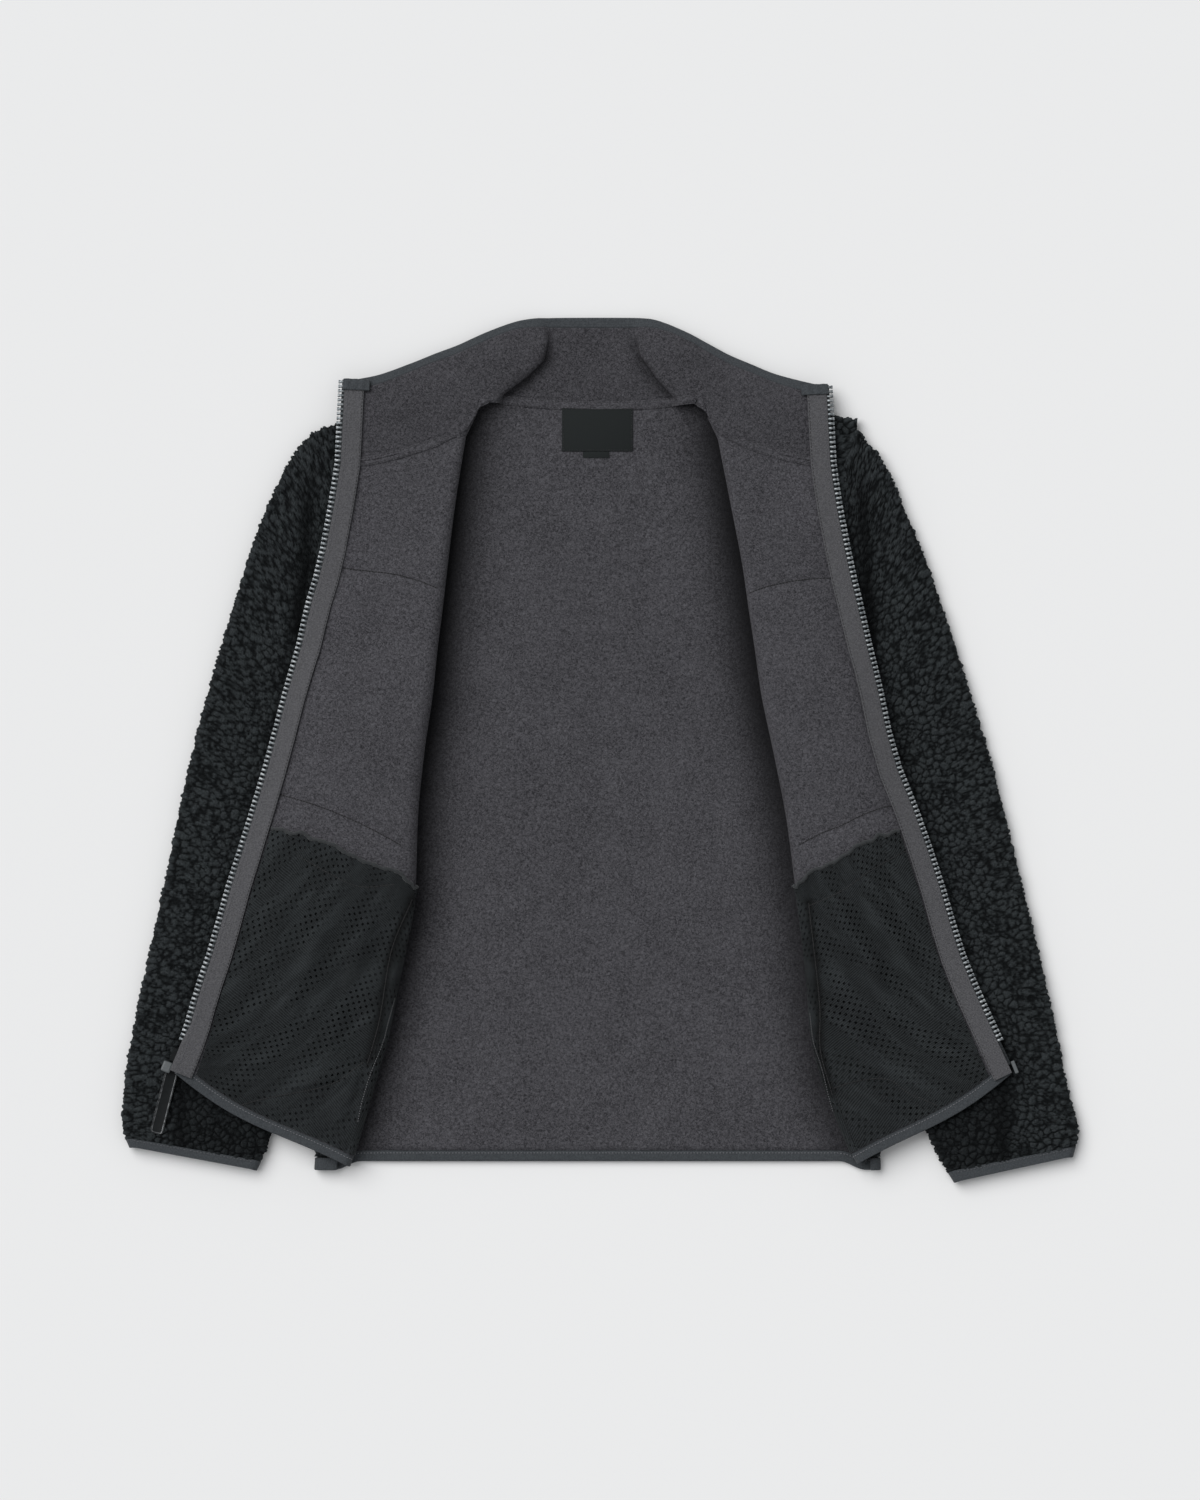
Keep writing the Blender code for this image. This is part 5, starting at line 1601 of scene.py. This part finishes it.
def strip_grid(stations, out, inner, lift, columns):
    rows = []
    for station in stations:
        base = station.point + station.normal * lift
        rows.append([base + station.inward * d for d in spread(-out(station.point.y), inner, columns)])
    return np.array(rows)


def make_zip_side(side):
    corner = FACING_CORNER if side == "right" else FACING_OUT
    tape = strip_grid(zip_stations(side, TAPE_ENDS[side]), lambda y: TAPE_OUT, TAPE_IN, TAPE_LIFT, 4)
    band("tape_" + side, tape, TAPE, .0002, WOVEN, "tape", "zip_tape_" + side, up_at=tape[len(tape) // 2, 0])
    lift = TAPE_LIFT + TAPE / 2 + SEAM_GAP + FACING / 2
    strip = strip_grid(zip_stations(side, FACING_END), lambda y: (
        FACING_OUT + (corner - FACING_OUT) * ease((COVER_FROM - y) / COVER_RUN)), FACING_IN, lift, 6)
    band("facing_" + side, strip, FACING + .0004, .0004, TWILL, "facing", "zip_facing_" + side,
         up_at=strip[len(strip) // 2, 0])
    make_teeth(side)
    make_zip_tab(side)
    for kind, inset in (("seam", FACING_IN - .0012), ("zip", .0016)):
        path = [s.point + s.normal * (lift + FACING / 2 + .0003) + s.inward * inset
                for s in zip_stations(side, FACING_END)]
        make_stitches("facing_%s_stitches_%s" % (kind, side), path, kind)


def even_places(path, step):
    """Points and directions at even steps along a path."""
    places = []
    carried = step / 2
    for a, b in zip(path, path[1:]):
        run = (b - a).length
        while carried < run:
            places.append((a.lerp(b, carried / run), (b - a).normalized()))
            carried += step
        carried -= run
    return places


def block_matrix(point, along, up):
    """Matrix of a small shape: x across, y along, z up."""
    across = along.cross(up).normalized()
    up = across.cross(along).normalized()
    turn = Matrix((across, along, up)).transposed().to_4x4()
    return Matrix.Translation(point) @ turn


def copies(name, shape, matrices, material):
    """One mesh of a small shape set down many times."""
    single = bpy.data.meshes.new("single")
    shape.to_mesh(single)
    shape.free()
    bm = bmesh.new()
    for _ in matrices:
        bm.from_mesh(single)
    made = link(bm, name, [material])
    corners = np.array([(*vert.co, 1) for vert in single.vertices])
    placed = [(corners @ np.array(matrix).T)[:, :3] for matrix in matrices]
    made.data.vertices.foreach_set("co", np.concatenate(placed).astype(np.float32).ravel())
    bpy.data.meshes.remove(single)
    return made


def make_teeth(side):
    stations = zip_stations(side, TAPE_ENDS[side])
    last = -.272 if side == "right" else -.2840
    path = [s.point + s.normal * TAPE_LIFT - s.inward * TAPE_OUT for s in stations if s.point.y > last]
    shape = bmesh.new()
    bmesh.ops.create_cube(shape, size=1, matrix=Matrix.Diagonal((*TOOTH_SIZE, 1)))
    head = Matrix.Translation((TOOTH_SIZE[0] / 2, 0, 0)) @ Matrix.Diagonal((*TOOTH_HEAD, 1))
    bmesh.ops.create_cube(shape, size=1, matrix=head)
    matrices = []
    for point, along in even_places(path, TOOTH_STEP):
        up = UP - along * along.z
        if along.cross(up).x * SIGN[side] < 0:
            along = -along
        matrices.append(block_matrix(point, along, up))
    made = copies("zip_teeth_" + side, shape, matrices, TEETH)
    soften(made, .00035, 1)
    stand_for(made, "grey_hardware")


def make_stitches(name, path, kind):
    """A row of raised stitches along a path."""
    stitch = STITCHES[kind]
    shape = bmesh.new()
    bmesh.ops.create_icosphere(shape, subdivisions=1, radius=.5, matrix=Matrix.Diagonal(
        (2 * stitch.radius, stitch.length, 2 * stitch.radius, 1)))
    matrices = [block_matrix(point, along, UP - along * along.z)
                for point, along in even_places(path, stitch.step)]
    stand_for(copies(name, shape, matrices, stitch.thread), stitch.slot)


# ---- hard trim
def dress(node, material):
    """A solid whose shape is right keeps it and gets the finish."""
    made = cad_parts[node]
    made.data.materials.clear()
    made.data.materials.append(material)


def bar(bm, start, end, radius):
    """Round bar between two points."""
    run = end - start
    turn = run.to_track_quat("Z", "Y").to_matrix().to_4x4()
    matrix = Matrix.Translation((start + end) / 2) @ turn
    bmesh.ops.create_cone(bm, cap_ends=True, segments=12, radius1=radius, radius2=radius,
                          depth=run.length, matrix=matrix)


def make_pull():
    """Pull tab: an eye of round bars, then a flat plate with a raised rim."""
    axis_z = SLIDER_BASE - (BAIL_DROP - BAIL_BAR) / 2
    tip_z = 2 * CLOTH + AIR + SEAM_GAP + PULL_THICK / 2
    lean = math.atan2(axis_z - tip_z, PULL_LENGTH)
    hang = (Matrix.Translation((*SLIDER_AT, axis_z)) @ Matrix.Rotation(PULL_TURN, 4, "Z")
            @ Matrix.Rotation(lean, 4, "X"))
    bm = bmesh.new()
    length = PULL_LENGTH - PULL_EYE
    bmesh.ops.create_cube(bm, size=1, matrix=Matrix.Translation((0, -PULL_EYE - length / 2, 0))
                          @ Matrix.Diagonal((PULL_WIDTH, length, PULL_THICK, 1)))
    upright = [e for e in bm.edges if abs(e.verts[0].co.z - e.verts[1].co.z) > PULL_THICK / 2]
    bmesh.ops.bevel(bm, geom=upright, offset=PULL_CORNER, segments=5, profile=.5, affect="EDGES",
                    material=-1)
    bm.normal_update()
    flat = [f for f in bm.faces if abs(f.normal.z) > .9]
    bmesh.ops.inset_individual(bm, faces=flat, thickness=PULL_RIM * .7, depth=0)
    flat = [f for f in bm.faces if abs(f.normal.z) > .9 and f.calc_area() > PULL_WIDTH * length * .4]
    bmesh.ops.inset_individual(bm, faces=flat, thickness=.0003, depth=-.00035)
    side = (PULL_EYE_OUT + PULL_EYE_IN) / 4
    corners = [Vector((-side, 0, 0)), Vector((side, 0, 0)), Vector((side, -PULL_EYE - .0008, 0)),
               Vector((-side, -PULL_EYE - .0008, 0))]
    for start, end in zip(corners, corners[1:] + corners[:1]):
        bar(bm, start, end, PULL_PIN)
    bmesh.ops.transform(bm, matrix=hang, verts=bm.verts)
    bmesh.ops.recalc_face_normals(bm, faces=bm.faces)
    made = link(bm, "pull_tab", [ENAMEL, EDGE_HIGHLIGHT])
    # the rounded edges take the painted highlight
    soften(made, .00022, 2, 40).material = 1
    stand_for(made, "hardware", "zip_pull", body="pull")


def make_trim():
    dress("zip_slider", ENAMEL)
    dress("zip_box", MOULDED)
    dress("zip_pin", MOULDED)
    make_pull()


def make_label(name, node, place, size):
    """A flat label, sewn on all round where it is wide enough."""
    bm = bmesh.new()
    bmesh.ops.create_cube(bm, size=1, matrix=Matrix.Translation((*place, CLOTH + SEAM_GAP + size[2] / 2))
                          @ Matrix.Diagonal((*size, 1)))
    bmesh.ops.recalc_face_normals(bm, faces=bm.faces)
    made = link(bm, name, [LABEL])
    soften(made, .0002, 2, 35)
    stand_for(made, "label", node)
    if size[1] > .01:
        half_x, half_y = size[0] / 2 - .0012, size[1] / 2 - .0012
        corners = [Vector((place[0] + x * half_x, place[1] + y * half_y, CLOTH + SEAM_GAP + size[2] + .0002))
                   for x, y in ((-1, -1), (1, -1), (1, 1), (-1, 1), (-1, -1))]
        make_stitches(name + "_stitches", corners, "label")


# ---- stage
FLOOR_SIZE = 30.0
FLOOR_GAP = 0.0003  # the floor lies this far under the jacket
CAMERA_HEIGHT = 7.0
SENSOR = 36  # millimetres
KEY_FROM = (-0.55, 0.50, 0.95)
KEY_POWER = 2.30
KEY_SOFTNESS = 50
SKY_POWER = 0.44
VIEW_HEIGHT = 1.380  # what the picture's long side shows of the floor


def make_stage():
    bm = bmesh.new()
    bmesh.ops.create_grid(bm, x_segments=1, y_segments=1, size=FLOOR_SIZE / 2)
    s = Shader("floor", Specular_IOR_Level=.1)
    floor = link(bm, "floor", [s.finish((.82, .82, .82), .9)])
    floor.location.z = -FLOOR_GAP
    camera = bpy.data.objects.new("camera", bpy.data.cameras.new("camera"))
    camera.location = (0, 0, CAMERA_HEIGHT)
    camera.data.sensor_width = SENSOR
    camera.data.lens = SENSOR * CAMERA_HEIGHT / VIEW_HEIGHT
    camera.data.clip_end = 50
    bpy.context.scene.collection.objects.link(camera)
    bpy.context.scene.camera = camera
    lamp = bpy.data.lights.new("key", "SUN")
    lamp.energy = KEY_POWER
    lamp.angle = math.radians(KEY_SOFTNESS)
    key = bpy.data.objects.new("key", lamp)
    key.rotation_mode = "QUATERNION"
    key.rotation_quaternion = Vector(KEY_FROM).to_track_quat("Z", "Y")
    bpy.context.scene.collection.objects.link(key)
    world = bpy.data.worlds.new("studio")
    world.use_nodes = True
    world.node_tree.nodes["Background"].inputs["Color"].default_value = (.97, .985, 1, 1)
    world.node_tree.nodes["Background"].inputs["Strength"].default_value = SKY_POWER
    bpy.context.scene.world = world
    bpy.context.scene.view_settings.view_transform = "Standard"


# ---- the jacket
make_stage()
back_panel = make_back()
make_back_binding()
collar_panel = make_collar()
panels = [back_panel, collar_panel]
for wearer_side in SIDES:
    panels.append(make_front(wearer_side))
    make_sleeve(wearer_side)
    make_pocket(wearer_side)
    make_zip_side(wearer_side)
make_neck_seam(tree_of(*panels))
make_label("neck_label_cloth", "neck_label", LABEL_PLACE, LABEL_SIZE)
make_label("size_tag_cloth", "size_tag", TAG_PLACE, TAG_SIZE)
make_trim()
